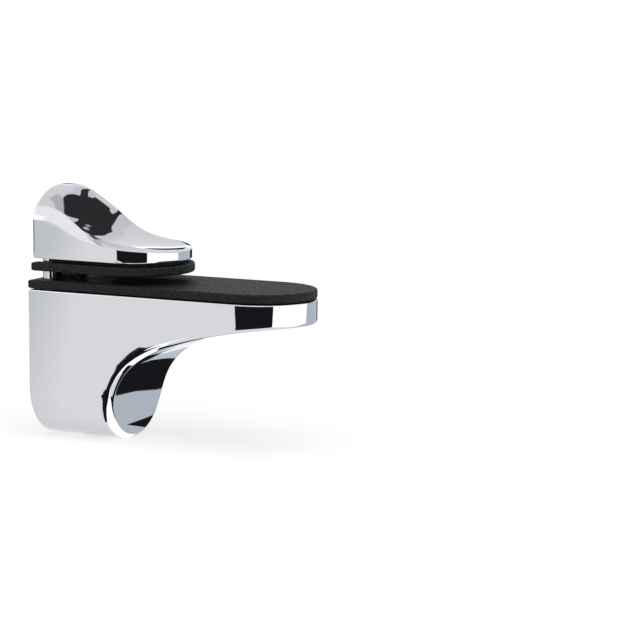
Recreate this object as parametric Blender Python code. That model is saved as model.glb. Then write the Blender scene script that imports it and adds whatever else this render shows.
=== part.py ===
"""Adjustable glass shelf clip for a wall, as an assembly.

Two chromed zinc castings hold the glass between rubber pads. The lower body hangs on a steel
plate that is screwed to the wall. The upper jaw's stem slides in the body, moved by a captive
screw that is turned from below.

Frame: the wall is the plane y = 0 and the clip reaches out along -y. z is up, and z = 0 is
half way between the wall plate's two screw holes. Below, "reach" is the distance from the
wall, "drop" is the depth under the lower body's rim and "rise" the height over the jaw's rim.
"""

import math

import bmesh
import bpy
import numpy as np
from mathutils import Matrix

MM = 0.001

# Shared sizes
WIDTH = 28.0 * MM
WALL = 2.0 * MM
SEAT_GAP = 0.3 * MM
RIM_HEIGHT = 18.5 * MM
GLASS_GAP = 2.35 * MM

# Lower body
BODY_REACH = 75.0 * MM
BODY_TIP_LENGTH = 15.0 * MM
BODY_DROP = 39.3 * MM
TOE_REACH = 24.0 * MM
TONGUE_TIP_DROP = 4.9 * MM
TONGUE_ROOT_REACH = 42.0 * MM
TONGUE_ROOT_DROP = 12.0 * MM
TOE_FRONT_HEIGHT = 5.3 * MM
SWOOP_PULL = 0.6
TIP_ROLL = 1.4 * MM
TOE_ROLL = 2.3 * MM
CORE_ROLL = 0.6 * MM
DECK_THICKNESS = 2.5 * MM
DECK_MARGIN = 2.5 * MM
RIB_THICKNESS = 1.6 * MM
CROSS_RIBS = 3
GUIDE_RIB_DROP = 24.0 * MM
BACK_BAR_REACH = 1.9 * MM

# Upper jaw
JAW_BACK = 1.3 * MM
JAW_BACK_ROUND = 1.0 * MM
JAW_REACH = 38.5 * MM
JAW_TIP_LENGTH = 12.5 * MM
JAW_RIM_GAP = 1.0 * MM
JAW_RECESS = 0.9 * MM
JAW_CORE_REACH = 19.0 * MM
JAW_ROOF = 2.4 * MM
CROWN_RISE = 18.25 * MM
CROWN_TIP_RISE = 1.95 * MM
RIDGE_RISE = 13.45 * MM
RIDGE_TIP_RISE = 2.95 * MM
SIDE_RISE = 10.05 * MM
SIDE_TIP_RISE = 2.75 * MM
RIDGE_INSET = 1.5 * MM
BEVEL_POWER = 0.77
ARCH_POWER = 2.6
CROWN_FALL = (0.326, 4)
RIDGE_FALL = (0.389, 4)
SIDE_FALL = (0.342, 3)

# Stem of the upper jaw
STEM_BACK = 2.8 * MM
STEM_THICKNESS = 3.15 * MM
STEM_FOOT_GAP = 2.8 * MM
STEM_CHAMFER = 3.0 * MM
POST_RADIUS = 4.5 * MM
POST_DROP = 18.0 * MM
POST_SHOULDER = 0.15 * MM
WEB_THICKNESS = 4.0 * MM

# Pads
PAD_THICKNESS = 2.3 * MM
PAD_EDGE = 1.0 * MM
UPPER_PAD_BACK = 1.0 * MM
UPPER_PAD_OVERHANG = 1.0 * MM
PLINTH_DEPTH = 1.5 * MM

# Clamp screw and its ring
SCREW_REACH = 13.0 * MM
SCREW_RADIUS = 2.5 * MM
SCREW_LENGTH = 35.0 * MM
SCREW_TOP_RISE = 6.0 * MM
SCREW_HOLE_RISE = 10.0 * MM
SCREW_CHAMFER = 0.5 * MM
HEAD_RADIUS = 4.25 * MM
HEAD_HEIGHT = 5.0 * MM
HEAD_SOCKET = 4.0 * MM
HEAD_SOCKET_DEPTH = 2.5 * MM
SHELF_THICKNESS = 3.0 * MM
RING_RADIUS = 4.8 * MM
RING_THICKNESS = 0.8 * MM
RING_MOUTH = 3.4 * MM
GROOVE_RADIUS = 2.0 * MM
GROOVE_GAP = 0.2 * MM

# Wall plate
PLATE_SIDE_GAP = 1.0 * MM
PLATE_THICKNESS = 1.6 * MM
PLATE_TOP_DROP = 6.3 * MM
PLATE_BOTTOM_DROP = 29.0 * MM
PLATE_CORNER = 3.0 * MM
TAB_WIDTH = 8.0 * MM
TAB_REACH = 5.2 * MM
TAB_DROP = 31.4 * MM
HOLE_SPACING = 11.0 * MM
HOLE_RADIUS = 2.25 * MM
COUNTERSINK_RADIUS = 3.6 * MM

# Lock screw
LOCK_REACH = 3.4 * MM
LOCK_RADIUS = 2.0 * MM
LOCK_LENGTH = 6.0 * MM
LOCK_SOCKET = 2.0 * MM
LOCK_SOCKET_DEPTH = 2.0 * MM
LOCK_BOSS_WALL = 1.4 * MM

# Sizes that follow from the others
HALF = WIDTH / 2
BODY_SHOULDER = BODY_REACH - BODY_TIP_LENGTH
TOE_CENTRE_DROP = BODY_DROP - HALF
SWOOP_END_DROP = BODY_DROP - TOE_FRONT_HEIGHT
JAW_SHOULDER = JAW_REACH - JAW_TIP_LENGTH
LOWER_PAD_BOTTOM = RIM_HEIGHT + SEAT_GAP
UPPER_PAD_BOTTOM = LOWER_PAD_BOTTOM + PAD_THICKNESS + GLASS_GAP
UPPER_PAD_TOP = UPPER_PAD_BOTTOM + PAD_THICKNESS
JAW_RIM = UPPER_PAD_TOP + JAW_RIM_GAP
STEM_FRONT = STEM_BACK + STEM_THICKNESS
STEM_HALF = HALF - WALL - SEAT_GAP
STEM_DROP = TAB_DROP - PLATE_THICKNESS - STEM_FOOT_GAP
SHELF_UNDER = RIM_HEIGHT + SCREW_TOP_RISE - SCREW_LENGTH + SEAT_GAP
SHELF_TOP = SHELF_UNDER + SHELF_THICKNESS
COUNTERBORE_RADIUS = HEAD_RADIUS + SEAT_GAP
TAB_UNDER = RIM_HEIGHT - TAB_DROP
LOCK_TOP = TAB_UNDER - SEAT_GAP
DECK_REACH = SCREW_REACH + POST_RADIUS + DECK_MARGIN
PLATE_HALF = HALF - WALL - PLATE_SIDE_GAP
TINY = 1e-9


def clear_scene():
    for obj in list(bpy.data.objects):
        bpy.data.objects.remove(obj, do_unlink=True)


def make_material(name, colour, metallic, roughness):
    material = bpy.data.materials.new(name)
    material.use_nodes = True
    shader = material.node_tree.nodes["Principled BSDF"]
    shader.inputs["Base Color"].default_value = (*colour, 1.0)
    shader.inputs["Metallic"].default_value = metallic
    shader.inputs["Roughness"].default_value = roughness
    material.diffuse_color = (*colour, 1.0)
    return material


def finish(name, bm, material=None, sharp_degrees=35.0):
    """Turn a bmesh into an object. Without a material it is a helper, such as a cutter."""
    bmesh.ops.remove_doubles(bm, verts=bm.verts, dist=1e-7)
    bmesh.ops.recalc_face_normals(bm, faces=bm.faces)
    mesh = bpy.data.meshes.new(name)
    bm.to_mesh(mesh)
    bm.free()
    mesh.shade_smooth()
    mesh.set_sharp_from_angle(angle=math.radians(sharp_degrees))
    obj = bpy.data.objects.new(name, mesh)
    bpy.context.scene.collection.objects.link(obj)
    if material is None:
        obj.hide_render = True
        obj.display_type = "WIRE"
    else:
        mesh.materials.append(material)
    return obj


def boolean(obj, operation, other):
    modifier = obj.modifiers.new(f"{operation.lower()} {other.name}", "BOOLEAN")
    modifier.operation = operation
    modifier.solver = "EXACT"
    modifier.object = other


def cut(obj, *others):
    for other in others:
        boolean(obj, "DIFFERENCE", other)


def join(obj, *others):
    for other in others:
        boolean(obj, "UNION", other)


def place(x, reach, z):
    """A point of the part's frame, from its distance to the wall."""
    return (x, -reach, z)


def add_face(bm, verts):
    """Add a face, leaving out a vertex that repeats its neighbour."""
    kept = [v for i, v in enumerate(verts) if v is not verts[i - 1]]
    if len(kept) > 2:
        bm.faces.new(kept)


def add_pair(bm, x, reach, z):
    """The vertices at -x and +x, which are one vertex on the middle plane."""
    right = bm.verts.new(place(x, reach, z))
    left = right if x < TINY else bm.verts.new(place(-x, reach, z))
    return left, right


def loft(name, sections, material=None, sharp_degrees=35.0):
    """A closed solid through closed loops of points that all have the same count."""
    bm = bmesh.new()
    loops = [[bm.verts.new(point) for point in section] for section in sections]
    for first, second in zip(loops, loops[1:]):
        for i, vert in enumerate(first):
            add_face(bm, [first[i - 1], vert, second[i], second[i - 1]])
    bm.faces.new(loops[0])
    bm.faces.new(loops[-1])
    return finish(name, bm, material, sharp_degrees)


def prism(name, outline, low, high, along, material=None):
    """Extrude an outline: (reach, z) along x, (x, z) along reach, (x, reach) along z."""
    order = {
        "x": lambda a, b, c: place(c, a, b),
        "reach": lambda a, b, c: place(a, c, b),
        "z": lambda a, b, c: place(a, b, c),
    }[along]
    sections = [[order(a, b, level) for a, b in outline] for level in (low, high)]
    return loft(name, sections, material)


def box(name, x, reach, z):
    """A helper block between two values of x, of reach and of z."""
    outline = [(x[0], reach[0]), (x[1], reach[0]), (x[1], reach[1]), (x[0], reach[1])]
    return prism(name, outline, z[0], z[1], "z")


def circle(radius, centre=(0.0, 0.0), sides=40, turn=0.0):
    angles = [turn + 2 * math.pi * i / sides for i in range(sides)]
    return [(centre[0] + radius * math.cos(a), centre[1] + radius * math.sin(a)) for a in angles]


def turned(name, profile, reach, material=None, sides=40):
    """Revolve (radius, z) rings about a vertical axis at this reach, from the bottom up."""
    sections = []
    for radius, z in profile:
        sections.append([place(x, r, z) for x, r in circle(radius, (0.0, reach), sides)])
    return loft(name, sections, material, 50.0)


def hexagon(across_flats, reach):
    return circle(across_flats / math.sqrt(3), (0.0, reach), 6)


class Swoop:
    """The body's underside in side view: a straight tongue that curves down into the toe."""

    def __init__(self, inset):
        slope = (TONGUE_ROOT_DROP - TONGUE_TIP_DROP) / (BODY_REACH - TONGUE_ROOT_REACH)
        far = np.array([BODY_REACH + HALF, TONGUE_TIP_DROP - slope * HALF])
        root = np.array([TONGUE_ROOT_REACH, TONGUE_ROOT_DROP])
        end = np.array([TOE_REACH, SWOOP_END_DROP])
        corner = np.array(
            [TOE_REACH, TONGUE_ROOT_DROP + slope * (TONGUE_ROOT_REACH - TOE_REACH)]
        )
        low = np.array([TOE_REACH, BODY_DROP + HALF])
        pulls = root + SWOOP_PULL * (corner - root), end + SWOOP_PULL * (corner - end)
        t = np.linspace(0, 1, 120)[:, None]
        bend = (
            (1 - t) ** 3 * root
            + 3 * (1 - t) ** 2 * t * pulls[0]
            + 3 * (1 - t) * t**2 * pulls[1]
            + t**3 * end
        )
        line = far + np.linspace(0, 1, 60)[:-1, None] * (root - far)
        drop_line = end + np.linspace(0, 1, 30)[1:, None] * (low - end)
        points = np.concatenate([line, bend, drop_line])
        tangent = np.gradient(points, axis=0)
        tangent /= np.linalg.norm(tangent, axis=1)[:, None]
        self.normal = np.stack([tangent[:, 1], -tangent[:, 0]], axis=1)
        self.points = points - inset * self.normal
        steps = np.linalg.norm(np.diff(self.points, axis=0), axis=1)
        self.length = np.concatenate([[0], np.cumsum(steps)])

    def length_at_reach(self, reach):
        return np.interp(-reach, -self.points[:, 0], self.length)

    def length_at_drop(self, drop):
        return np.interp(drop, self.points[:, 1], self.length)

    def at(self, length, lift):
        """The point at this length along the underside, lifted into the body along the normal."""
        values = [np.interp(length, self.length, column) for column in self.points.T]
        normal = [np.interp(length, self.length, column) for column in self.normal.T]
        return values[0] - lift * normal[0], values[1] - lift * normal[1]


def body_solid(name, inset, rolls, top, back, material=None):
    """The body's outer form, or with an inset the core that hollows it.

    Its edge is rolled from the flat sides into the underside, round the tip and round the toe.
    Stations run from the middle of the tip, along one side, to the middle of the toe.
    """
    swoop = Swoop(inset)
    half = HALF - inset
    tip_length = BODY_TIP_LENGTH - inset
    quarter = math.pi / 2
    tip = [("tip", quarter * (1 - i / 12)) for i in range(13)]
    start = swoop.length_at_reach(BODY_SHOULDER)
    stop = swoop.length_at_drop(TOE_CENTRE_DROP)
    side = [("side", start + (stop - start) * i / 30) for i in range(1, 30)]
    toe = [("toe", quarter * i / 12) for i in range(13)]
    stations = tip + side + toe

    def spot(station, shrink, lift):
        kind, value = station
        if kind == "tip":
            length = swoop.length_at_reach(
                BODY_SHOULDER + (tip_length - shrink) * math.sin(value)
            )
        elif kind == "toe":
            length = swoop.length_at_drop(
                TOE_CENTRE_DROP + (half - shrink) * math.sin(value)
            )
        else:
            length = value
        x = (half - shrink) * (1.0 if kind == "side" else math.cos(value))
        reach, drop = swoop.at(length, lift)
        return x, reach, drop

    def roll_at(station):
        drop = spot(station, 0.0, 0.0)[2]
        return float(np.interp(drop, (TONGUE_TIP_DROP, 1.5 * TONGUE_ROOT_DROP), rolls))

    bm = bmesh.new()
    rings = []
    for step in range(7):
        angle = quarter * step / 6
        ring = []
        for station in stations:
            roll = roll_at(station)
            shrink = roll * (1 - math.cos(angle))
            lift = roll * (1 - math.sin(angle))
            x, reach, drop = spot(station, shrink, lift)
            ring.append(add_pair(bm, x, reach, RIM_HEIGHT - drop))
        rings.append(ring)
    for inner, outer in zip(rings, rings[1:]):
        for i in range(len(stations) - 1):
            for s in (0, 1):
                add_face(bm, [inner[i][s], inner[i + 1][s], outer[i + 1][s], outer[i][s]])
    for first, second in zip(rings[-1], rings[-1][1:]):
        add_face(bm, [first[0], second[0], second[1], first[1]])

    rim = [
        add_pair(bm, half * math.cos(a), BODY_SHOULDER + tip_length * math.sin(a), top)
        for _, a in tip
    ]
    heel = [
        add_pair(bm, half * math.cos(a), back, RIM_HEIGHT - TOE_CENTRE_DROP - half * math.sin(a))
        for _, a in toe
    ]
    corner = add_pair(bm, half, back, top)
    edge = rings[0]
    toe_start = len(tip) + len(side)
    for s in (0, 1):
        for i in range(len(tip) - 1):
            add_face(bm, [rim[i][s], rim[i + 1][s], edge[i + 1][s], edge[i][s]])
        for i in range(len(toe) - 1):
            j = toe_start + i
            add_face(bm, [edge[j][s], edge[j + 1][s], heel[i + 1][s], heel[i][s]])
        flank = [pair[s] for pair in edge[len(tip) - 1 : toe_start + 1]]
        add_face(bm, [rim[-1][s], corner[s], heel[0][s], *reversed(flank)])
    left = [pair[0] for pair in reversed(rim)]
    right = [pair[1] for pair in rim]
    add_face(bm, [corner[0], *left, *right[1:], corner[1]])
    left = [pair[0] for pair in heel]
    right = [pair[1] for pair in reversed(heel)]
    add_face(bm, [corner[0], *left, *right[1:], corner[1]])
    return finish(name, bm, material)


def post_outline(clearance):
    """Plan view of the stem's web and round post as (x, reach), from inside the stem's plate."""
    web = WEB_THICKNESS / 2 + clearance
    radius = POST_RADIUS + clearance
    open_angle = math.asin(web / radius)
    sweep = 2 * (math.pi - open_angle)
    first = -math.pi / 2 + open_angle
    arc = [first + sweep * i / 28 for i in range(29)]
    post = [(radius * math.cos(a), SCREW_REACH + radius * math.sin(a)) for a in arc]
    start = STEM_FRONT - STEM_THICKNESS / 2
    return [(web, start), *post, (-web, start)]


def stem_outline(clearance, back, front):
    """Plan view of the whole stem as (x, reach): its plate, web and post."""
    half = STEM_HALF + clearance
    web = WEB_THICKNESS / 2 + clearance
    post = post_outline(clearance)[1:-1]
    plate = [(-half, front), (-half, back), (half, back), (half, front)]
    return [*plate, (web, front), *post, (-web, front)]


def make_lower_body(chrome):
    """The lower casting: outer form, less a core, which leaves deck, ribs and bosses standing."""
    body = body_solid("lower_body", 0.0, (TIP_ROLL, TOE_ROLL), RIM_HEIGHT, 0.0, chrome)
    above = RIM_HEIGHT + WALL
    core = body_solid("body_core", WALL, (CORE_ROLL, CORE_ROLL), above, -WALL)

    wide = (-WIDTH, WIDTH)
    deck_under = RIM_HEIGHT - DECK_THICKNESS
    rib_top = RIM_HEIGHT - PLINTH_DEPTH - SEAT_GAP
    rib_bottom = RIM_HEIGHT - BODY_DROP
    deck = box("deck", wide, (-2 * WALL, DECK_REACH), (deck_under, above + WALL))
    cut(core, deck)

    half_rib = RIB_THICKNESS / 2
    spine = box("spine", (-half_rib, half_rib), (DECK_REACH, BODY_REACH), (rib_bottom, rib_top))
    cut(core, spine)
    pitch = (BODY_REACH - DECK_REACH) / (CROSS_RIBS + 1)
    for i in range(CROSS_RIBS):
        reach = DECK_REACH + pitch * (i + 1)
        span = (reach - half_rib, reach + half_rib)
        cut(core, box(f"cross_rib_{i + 1}", wide, span, (rib_bottom, rib_top)))

    guide_front = STEM_FRONT + SEAT_GAP
    guide_low = RIM_HEIGHT - GUIDE_RIB_DROP
    guide_edge = POST_RADIUS + WALL
    for side in (-1, 1):
        span = sorted((side * guide_edge, side * WIDTH))
        reach = (guide_front, guide_front + RIB_THICKNESS)
        cut(core, box(f"guide_rib_{side}", span, reach, (guide_low, above)))

    boss = COUNTERBORE_RADIUS + WALL
    arc = [math.pi + math.pi * i / 20 for i in range(21)]
    clamp_outline = [(boss * math.cos(a), SCREW_REACH + boss * math.sin(a)) for a in arc]
    clamp_outline += [(boss, TOE_REACH), (-boss, TOE_REACH)]
    cut(core, prism("clamp_boss", clamp_outline, rib_bottom - WALL, SHELF_TOP, "z"))

    lock_boss_radius = LOCK_RADIUS + SEAT_GAP + LOCK_BOSS_WALL
    lock_boss_top = TAB_UNDER - SEAT_GAP * 2
    lock_outline = circle(lock_boss_radius, (0.0, LOCK_REACH))
    cut(core, prism("lock_boss", lock_outline, rib_bottom - WALL, lock_boss_top, "z"))

    # The bar's under side slopes like the plate's top, so that the body hangs on the plate.
    bar_low = RIM_HEIGHT - PLATE_TOP_DROP + SEAT_GAP * math.sqrt(2)
    bar_outline = [
        (-2 * WALL, above),
        (BACK_BAR_REACH, above),
        (BACK_BAR_REACH, bar_low + BACK_BAR_REACH - PLATE_THICKNESS),
        (-2 * WALL, bar_low - 2 * WALL - PLATE_THICKNESS),
    ]
    cut(core, prism("back_bar", bar_outline, -WIDTH, WIDTH, "x"))
    cut(body, core)

    slot_back = BACK_BAR_REACH
    slot = stem_outline(SEAT_GAP, slot_back, guide_front)
    cut(body, prism("stem_slot", slot, deck_under - WALL, above, "z"))
    counterbore = turned(
        "counterbore",
        [(COUNTERBORE_RADIUS, rib_bottom - WALL), (COUNTERBORE_RADIUS, SHELF_UNDER)],
        SCREW_REACH,
    )
    shank_hole = turned(
        "shank_hole",
        [
            (SCREW_RADIUS + SEAT_GAP, SHELF_UNDER - WALL),
            (SCREW_RADIUS + SEAT_GAP, SHELF_TOP + WALL),
        ],
        SCREW_REACH,
    )
    lock_hole = turned(
        "lock_hole",
        [
            (LOCK_RADIUS + SEAT_GAP, rib_bottom - WALL),
            (LOCK_RADIUS + SEAT_GAP, lock_boss_top + WALL),
        ],
        LOCK_REACH,
    )
    cut(body, counterbore, shank_hole, lock_hole)
    return body


def fall(reach, rises, shape):
    """A rise that falls from the wall to the tip, half of it at shape's share of the reach."""
    high, low = rises
    half_way, power = shape
    return low + (high - low) / (1 + (reach / JAW_REACH / half_way) ** power)


def jaw_height(inward, reach):
    """Rise of the jaw's top at this distance in from its outline: bevel, ridge, then scoop."""
    side = fall(reach, (SIDE_RISE, SIDE_TIP_RISE), SIDE_FALL)
    ridge = fall(reach, (RIDGE_RISE, RIDGE_TIP_RISE), RIDGE_FALL)
    crown = fall(reach, (CROWN_RISE, CROWN_TIP_RISE), CROWN_FALL)
    if inward < RIDGE_INSET:
        return side + (ridge - side) * (inward / RIDGE_INSET) ** BEVEL_POWER
    across = (HALF - inward) / (HALF - RIDGE_INSET)
    return crown + (ridge - crown) * across**ARCH_POWER


def make_jaw_form(chrome):
    """The jaw's outer form. Rings follow its plan outline, each further in than the last.

    The first stations draw it in towards the wall, which rounds its back edge.
    """
    inward = [0.0, 0.0]
    inward += [RIDGE_INSET * i / 3 for i in range(1, 4)]
    inward += [RIDGE_INSET + (HALF - RIDGE_INSET) * i / 9 for i in range(1, 10)]
    quarter = math.pi / 2
    turns = [quarter * i / 4 for i in range(4)]
    rounded = [
        (JAW_BACK + JAW_BACK_ROUND * (1 - math.cos(a)), JAW_BACK_ROUND * (1 - math.sin(a)))
        for a in turns
    ]
    start = JAW_BACK + JAW_BACK_ROUND
    straight = [(start + (JAW_SHOULDER - start) * i / 17, 0.0) for i in range(17)]
    angles = [quarter * i / 12 for i in range(13)]

    bm = bmesh.new()
    rings = []
    for level, distance in enumerate(inward):
        scale = 1 - distance / HALF
        spots = [((HALF - drawn) * scale, reach, drawn) for reach, drawn in rounded + straight]
        spots += [
            (HALF * scale * math.cos(a), JAW_SHOULDER + JAW_TIP_LENGTH * scale * math.sin(a), 0.0)
            for a in angles
        ]
        ring = []
        for x, reach, drawn in spots:
            rise = 0.0 if level == 0 else jaw_height(distance, reach)
            ring.append(add_pair(bm, x, reach, JAW_RIM + rise * (1 - drawn / CROWN_RISE)))
        rings.append(ring)
    for lower, upper in zip(rings, rings[1:]):
        for i in range(len(lower) - 1):
            for s in (0, 1):
                add_face(bm, [lower[i][s], lower[i + 1][s], upper[i + 1][s], upper[i][s]])
    left = [pair[0] for pair in rings[0]]
    right = [pair[1] for pair in reversed(rings[0])]
    add_face(bm, [*left, *right[1:]])
    left = [ring[0][0] for ring in rings]
    right = [ring[0][1] for ring in reversed(rings)]
    add_face(bm, [*left, *right[1:]])
    return finish("upper_jaw", bm, chrome, 15.0)


def make_jaw_core():
    """The deep pocket under the jaw's crown, in front of the stem's plate."""
    sections = []
    half = HALF - WALL
    back = STEM_FRONT + WALL
    for i in range(9):
        reach = back + (JAW_CORE_REACH - back) * i / 8
        arch = []
        for j in range(13):
            x = half * (1 - j / 6)
            arch.append(place(x, reach, JAW_RIM + jaw_height(HALF - abs(x), reach) - JAW_ROOF))
        ends = [place(-half, reach, JAW_RIM - WALL), place(half, reach, JAW_RIM - WALL)]
        sections.append(arch + ends)
    return loft("jaw_core", sections)


def tip_outline(half, back, shoulder, tip_length):
    """Plan outline as (x, reach): straight sides and a half ellipse round the tip."""
    arc = [math.pi * i / 32 for i in range(33)]
    tip = [(half * math.cos(a), shoulder + tip_length * math.sin(a)) for a in arc]
    return [(half, back), *tip, (-half, back)]


def make_upper_jaw(chrome):
    """The upper casting: sculpted jaw, recess for its pad, pocket, and the T-shaped stem."""
    jaw = make_jaw_form(chrome)
    post_top = JAW_RIM + CROWN_RISE
    stem_low = RIM_HEIGHT - STEM_DROP
    post_low = RIM_HEIGHT - POST_DROP
    joint_height = JAW_RIM + JAW_RECESS + WALL

    plate_corner = STEM_HALF - STEM_CHAMFER
    plate_outline = [
        (-STEM_HALF, joint_height),
        (-STEM_HALF, stem_low + STEM_CHAMFER),
        (-plate_corner, stem_low),
        (plate_corner, stem_low),
        (STEM_HALF, stem_low + STEM_CHAMFER),
        (STEM_HALF, joint_height),
    ]
    plate = prism("stem_plate", plate_outline, STEM_BACK, STEM_FRONT, "reach")
    post = prism("stem_post", post_outline(0.0), post_low, joint_height, "z")
    join(jaw, plate, post)

    core = make_jaw_core()
    column = post_outline(POST_SHOULDER)
    cut(core, prism("post_in_core", column, JAW_RIM - 2 * WALL, post_top, "z"))
    recess_outline = tip_outline(
        HALF - WALL, STEM_FRONT + SEAT_GAP, JAW_SHOULDER, JAW_TIP_LENGTH - WALL
    )
    recess = prism("jaw_recess", recess_outline, JAW_RIM - WALL, JAW_RIM + JAW_RECESS, "z")
    cut(recess, prism("post_in_recess", column, JAW_RIM - 3 * WALL, post_top, "z"))
    cut(jaw, core, recess)
    radius = SCREW_RADIUS + SEAT_GAP
    hole_top = RIM_HEIGHT + SCREW_HOLE_RISE
    hole = turned("screw_hole", [(radius, post_low - WALL), (radius, hole_top)], SCREW_REACH)
    cut(jaw, hole)
    return jaw


def pad_form(name, back, shoulder, tip_length, bottom, material):
    """A flat pad with a rounded edge all round."""
    angles = [math.pi / 2 * i / 4 for i in range(5)]
    lower = [(PAD_EDGE * (1 - math.sin(a)), PAD_EDGE * (1 - math.cos(a))) for a in angles]
    upper = [(inward, PAD_THICKNESS - height) for inward, height in reversed(lower)]
    sections = []
    for inward, height in lower + upper:
        outline = tip_outline(HALF - inward, back + inward, shoulder, tip_length - inward)
        sections.append([place(x, reach, bottom + height) for x, reach in outline])
    return loft(name, sections, material, 40.0)


def make_lower_pad(rubber):
    """The pad on the body's tongue. Its plinth fits the body, and the stem passes its window."""
    pad = pad_form(
        "lower_pad", 0.0, BODY_SHOULDER, BODY_TIP_LENGTH, LOWER_PAD_BOTTOM, rubber
    )
    fit = WALL + SEAT_GAP
    plinth = prism(
        "lower_plinth",
        tip_outline(HALF - fit, DECK_REACH + SEAT_GAP, BODY_SHOULDER, BODY_TIP_LENGTH - fit),
        RIM_HEIGHT - PLINTH_DEPTH,
        LOWER_PAD_BOTTOM + PAD_THICKNESS / 2,
        "z",
    )
    join(pad, plinth)
    window = stem_outline(SEAT_GAP, STEM_BACK - SEAT_GAP, STEM_FRONT + SEAT_GAP)
    top = LOWER_PAD_BOTTOM + PAD_THICKNESS + WALL
    cut(pad, prism("lower_window", window, RIM_HEIGHT - WALL, top, "z"))
    return pad


def make_upper_pad(rubber):
    """The pad under the jaw. Its plinth fits the jaw's recess, and its back is open for the stem."""
    tip_length = JAW_TIP_LENGTH + UPPER_PAD_OVERHANG
    pad = pad_form(
        "upper_pad", UPPER_PAD_BACK, JAW_SHOULDER, tip_length, UPPER_PAD_BOTTOM, rubber
    )
    fit = WALL + SEAT_GAP
    plinth = prism(
        "upper_plinth",
        tip_outline(HALF - fit, STEM_FRONT + SEAT_GAP, JAW_SHOULDER, JAW_TIP_LENGTH - fit),
        UPPER_PAD_TOP - PAD_THICKNESS / 2,
        JAW_RIM + JAW_RECESS - SEAT_GAP,
        "z",
    )
    join(pad, plinth)
    notch = stem_outline(SEAT_GAP + POST_SHOULDER, -WALL, STEM_FRONT + SEAT_GAP)
    cut(pad, prism("upper_notch", notch, UPPER_PAD_BOTTOM - WALL, JAW_RIM + 2 * WALL, "z"))
    return pad


def make_clamp_screw(steel):
    """Socket head screw, head down, with a groove for its ring just over the body's shelf."""
    top = RIM_HEIGHT + SCREW_TOP_RISE
    seat = top - SCREW_LENGTH
    head_low = seat - HEAD_HEIGHT
    groove_low = SHELF_TOP + SEAT_GAP - GROOVE_GAP
    groove_high = SHELF_TOP + SEAT_GAP + RING_THICKNESS + GROOVE_GAP
    profile = [
        (HEAD_RADIUS - SCREW_CHAMFER, head_low),
        (HEAD_RADIUS, head_low + SCREW_CHAMFER),
        (HEAD_RADIUS, seat),
        (SCREW_RADIUS, seat),
        (SCREW_RADIUS, groove_low),
        (GROOVE_RADIUS, groove_low),
        (GROOVE_RADIUS, groove_high),
        (SCREW_RADIUS, groove_high),
        (SCREW_RADIUS, top - SCREW_CHAMFER),
        (SCREW_RADIUS - SCREW_CHAMFER, top),
    ]
    screw = turned("clamp_screw", profile, SCREW_REACH, steel)
    socket = prism(
        "head_socket",
        hexagon(HEAD_SOCKET, SCREW_REACH),
        head_low - WALL,
        head_low + HEAD_SOCKET_DEPTH,
        "z",
    )
    cut(screw, socket)
    return screw


def make_retaining_ring(steel):
    """Open ring that snaps into the screw's groove from the front."""
    inner = GROOVE_RADIUS + GROOVE_GAP
    half_mouth = math.asin(RING_MOUTH / 2 / RING_RADIUS)
    inner_mouth = math.asin(RING_MOUTH / 2 / inner)
    outline = []
    for radius, mouth, forward in ((RING_RADIUS, half_mouth, 1), (inner, inner_mouth, -1)):
        first = math.pi / 2 + mouth
        sweep = 2 * (math.pi - mouth)
        arc = [first + sweep * i / 36 for i in range(37)][::forward]
        outline += [(radius * math.cos(a), SCREW_REACH + radius * math.sin(a)) for a in arc]
    low = SHELF_TOP + SEAT_GAP
    return prism("retaining_ring", outline, low, low + RING_THICKNESS, "z", steel)


def make_wall_plate(steel):
    """Plate with two countersunk holes, a bevelled top edge and a tab folded out at the foot."""
    half = PLATE_HALF
    inner = half - PLATE_CORNER
    top = RIM_HEIGHT - PLATE_TOP_DROP
    bottom = RIM_HEIGHT - PLATE_BOTTOM_DROP
    tab_half = TAB_WIDTH / 2
    outline = [
        (-half, top),
        (-half, bottom + PLATE_CORNER),
        (-inner, bottom),
        (-tab_half, bottom),
        (-tab_half, TAB_UNDER),
        (tab_half, TAB_UNDER),
        (tab_half, bottom),
        (inner, bottom),
        (half, bottom + PLATE_CORNER),
        (half, top),
    ]
    plate = prism("wall_plate", outline, 0.0, PLATE_THICKNESS, "reach", steel)
    tab_profile = [
        (PLATE_THICKNESS / 2, TAB_UNDER),
        (TAB_REACH, TAB_UNDER),
        (TAB_REACH, TAB_UNDER + PLATE_THICKNESS),
        (PLATE_THICKNESS / 2, TAB_UNDER + PLATE_THICKNESS),
    ]
    join(plate, prism("tab", tab_profile, -tab_half, tab_half, "x"))
    bevel = [
        (-WALL, top - PLATE_THICKNESS - WALL),
        (PLATE_THICKNESS + WALL, top + WALL),
        (-WALL, top + WALL),
    ]
    cut(plate, prism("plate_bevel", bevel, -WIDTH, WIDTH, "x"))
    for i in range(2):
        middle = HOLE_SPACING * (i - 0.5)
        slope = COUNTERSINK_RADIUS - HOLE_RADIUS
        profile = [
            (HOLE_RADIUS, -WALL),
            (HOLE_RADIUS, PLATE_THICKNESS - slope),
            (COUNTERSINK_RADIUS, PLATE_THICKNESS),
            (COUNTERSINK_RADIUS, PLATE_THICKNESS + WALL),
        ]
        sections = []
        for radius, reach in profile:
            sections.append([place(x, reach, z) for x, z in circle(radius, (0.0, middle))])
        cut(plate, loft(f"screw_hole_{i + 1}", sections))
    return plate


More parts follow.
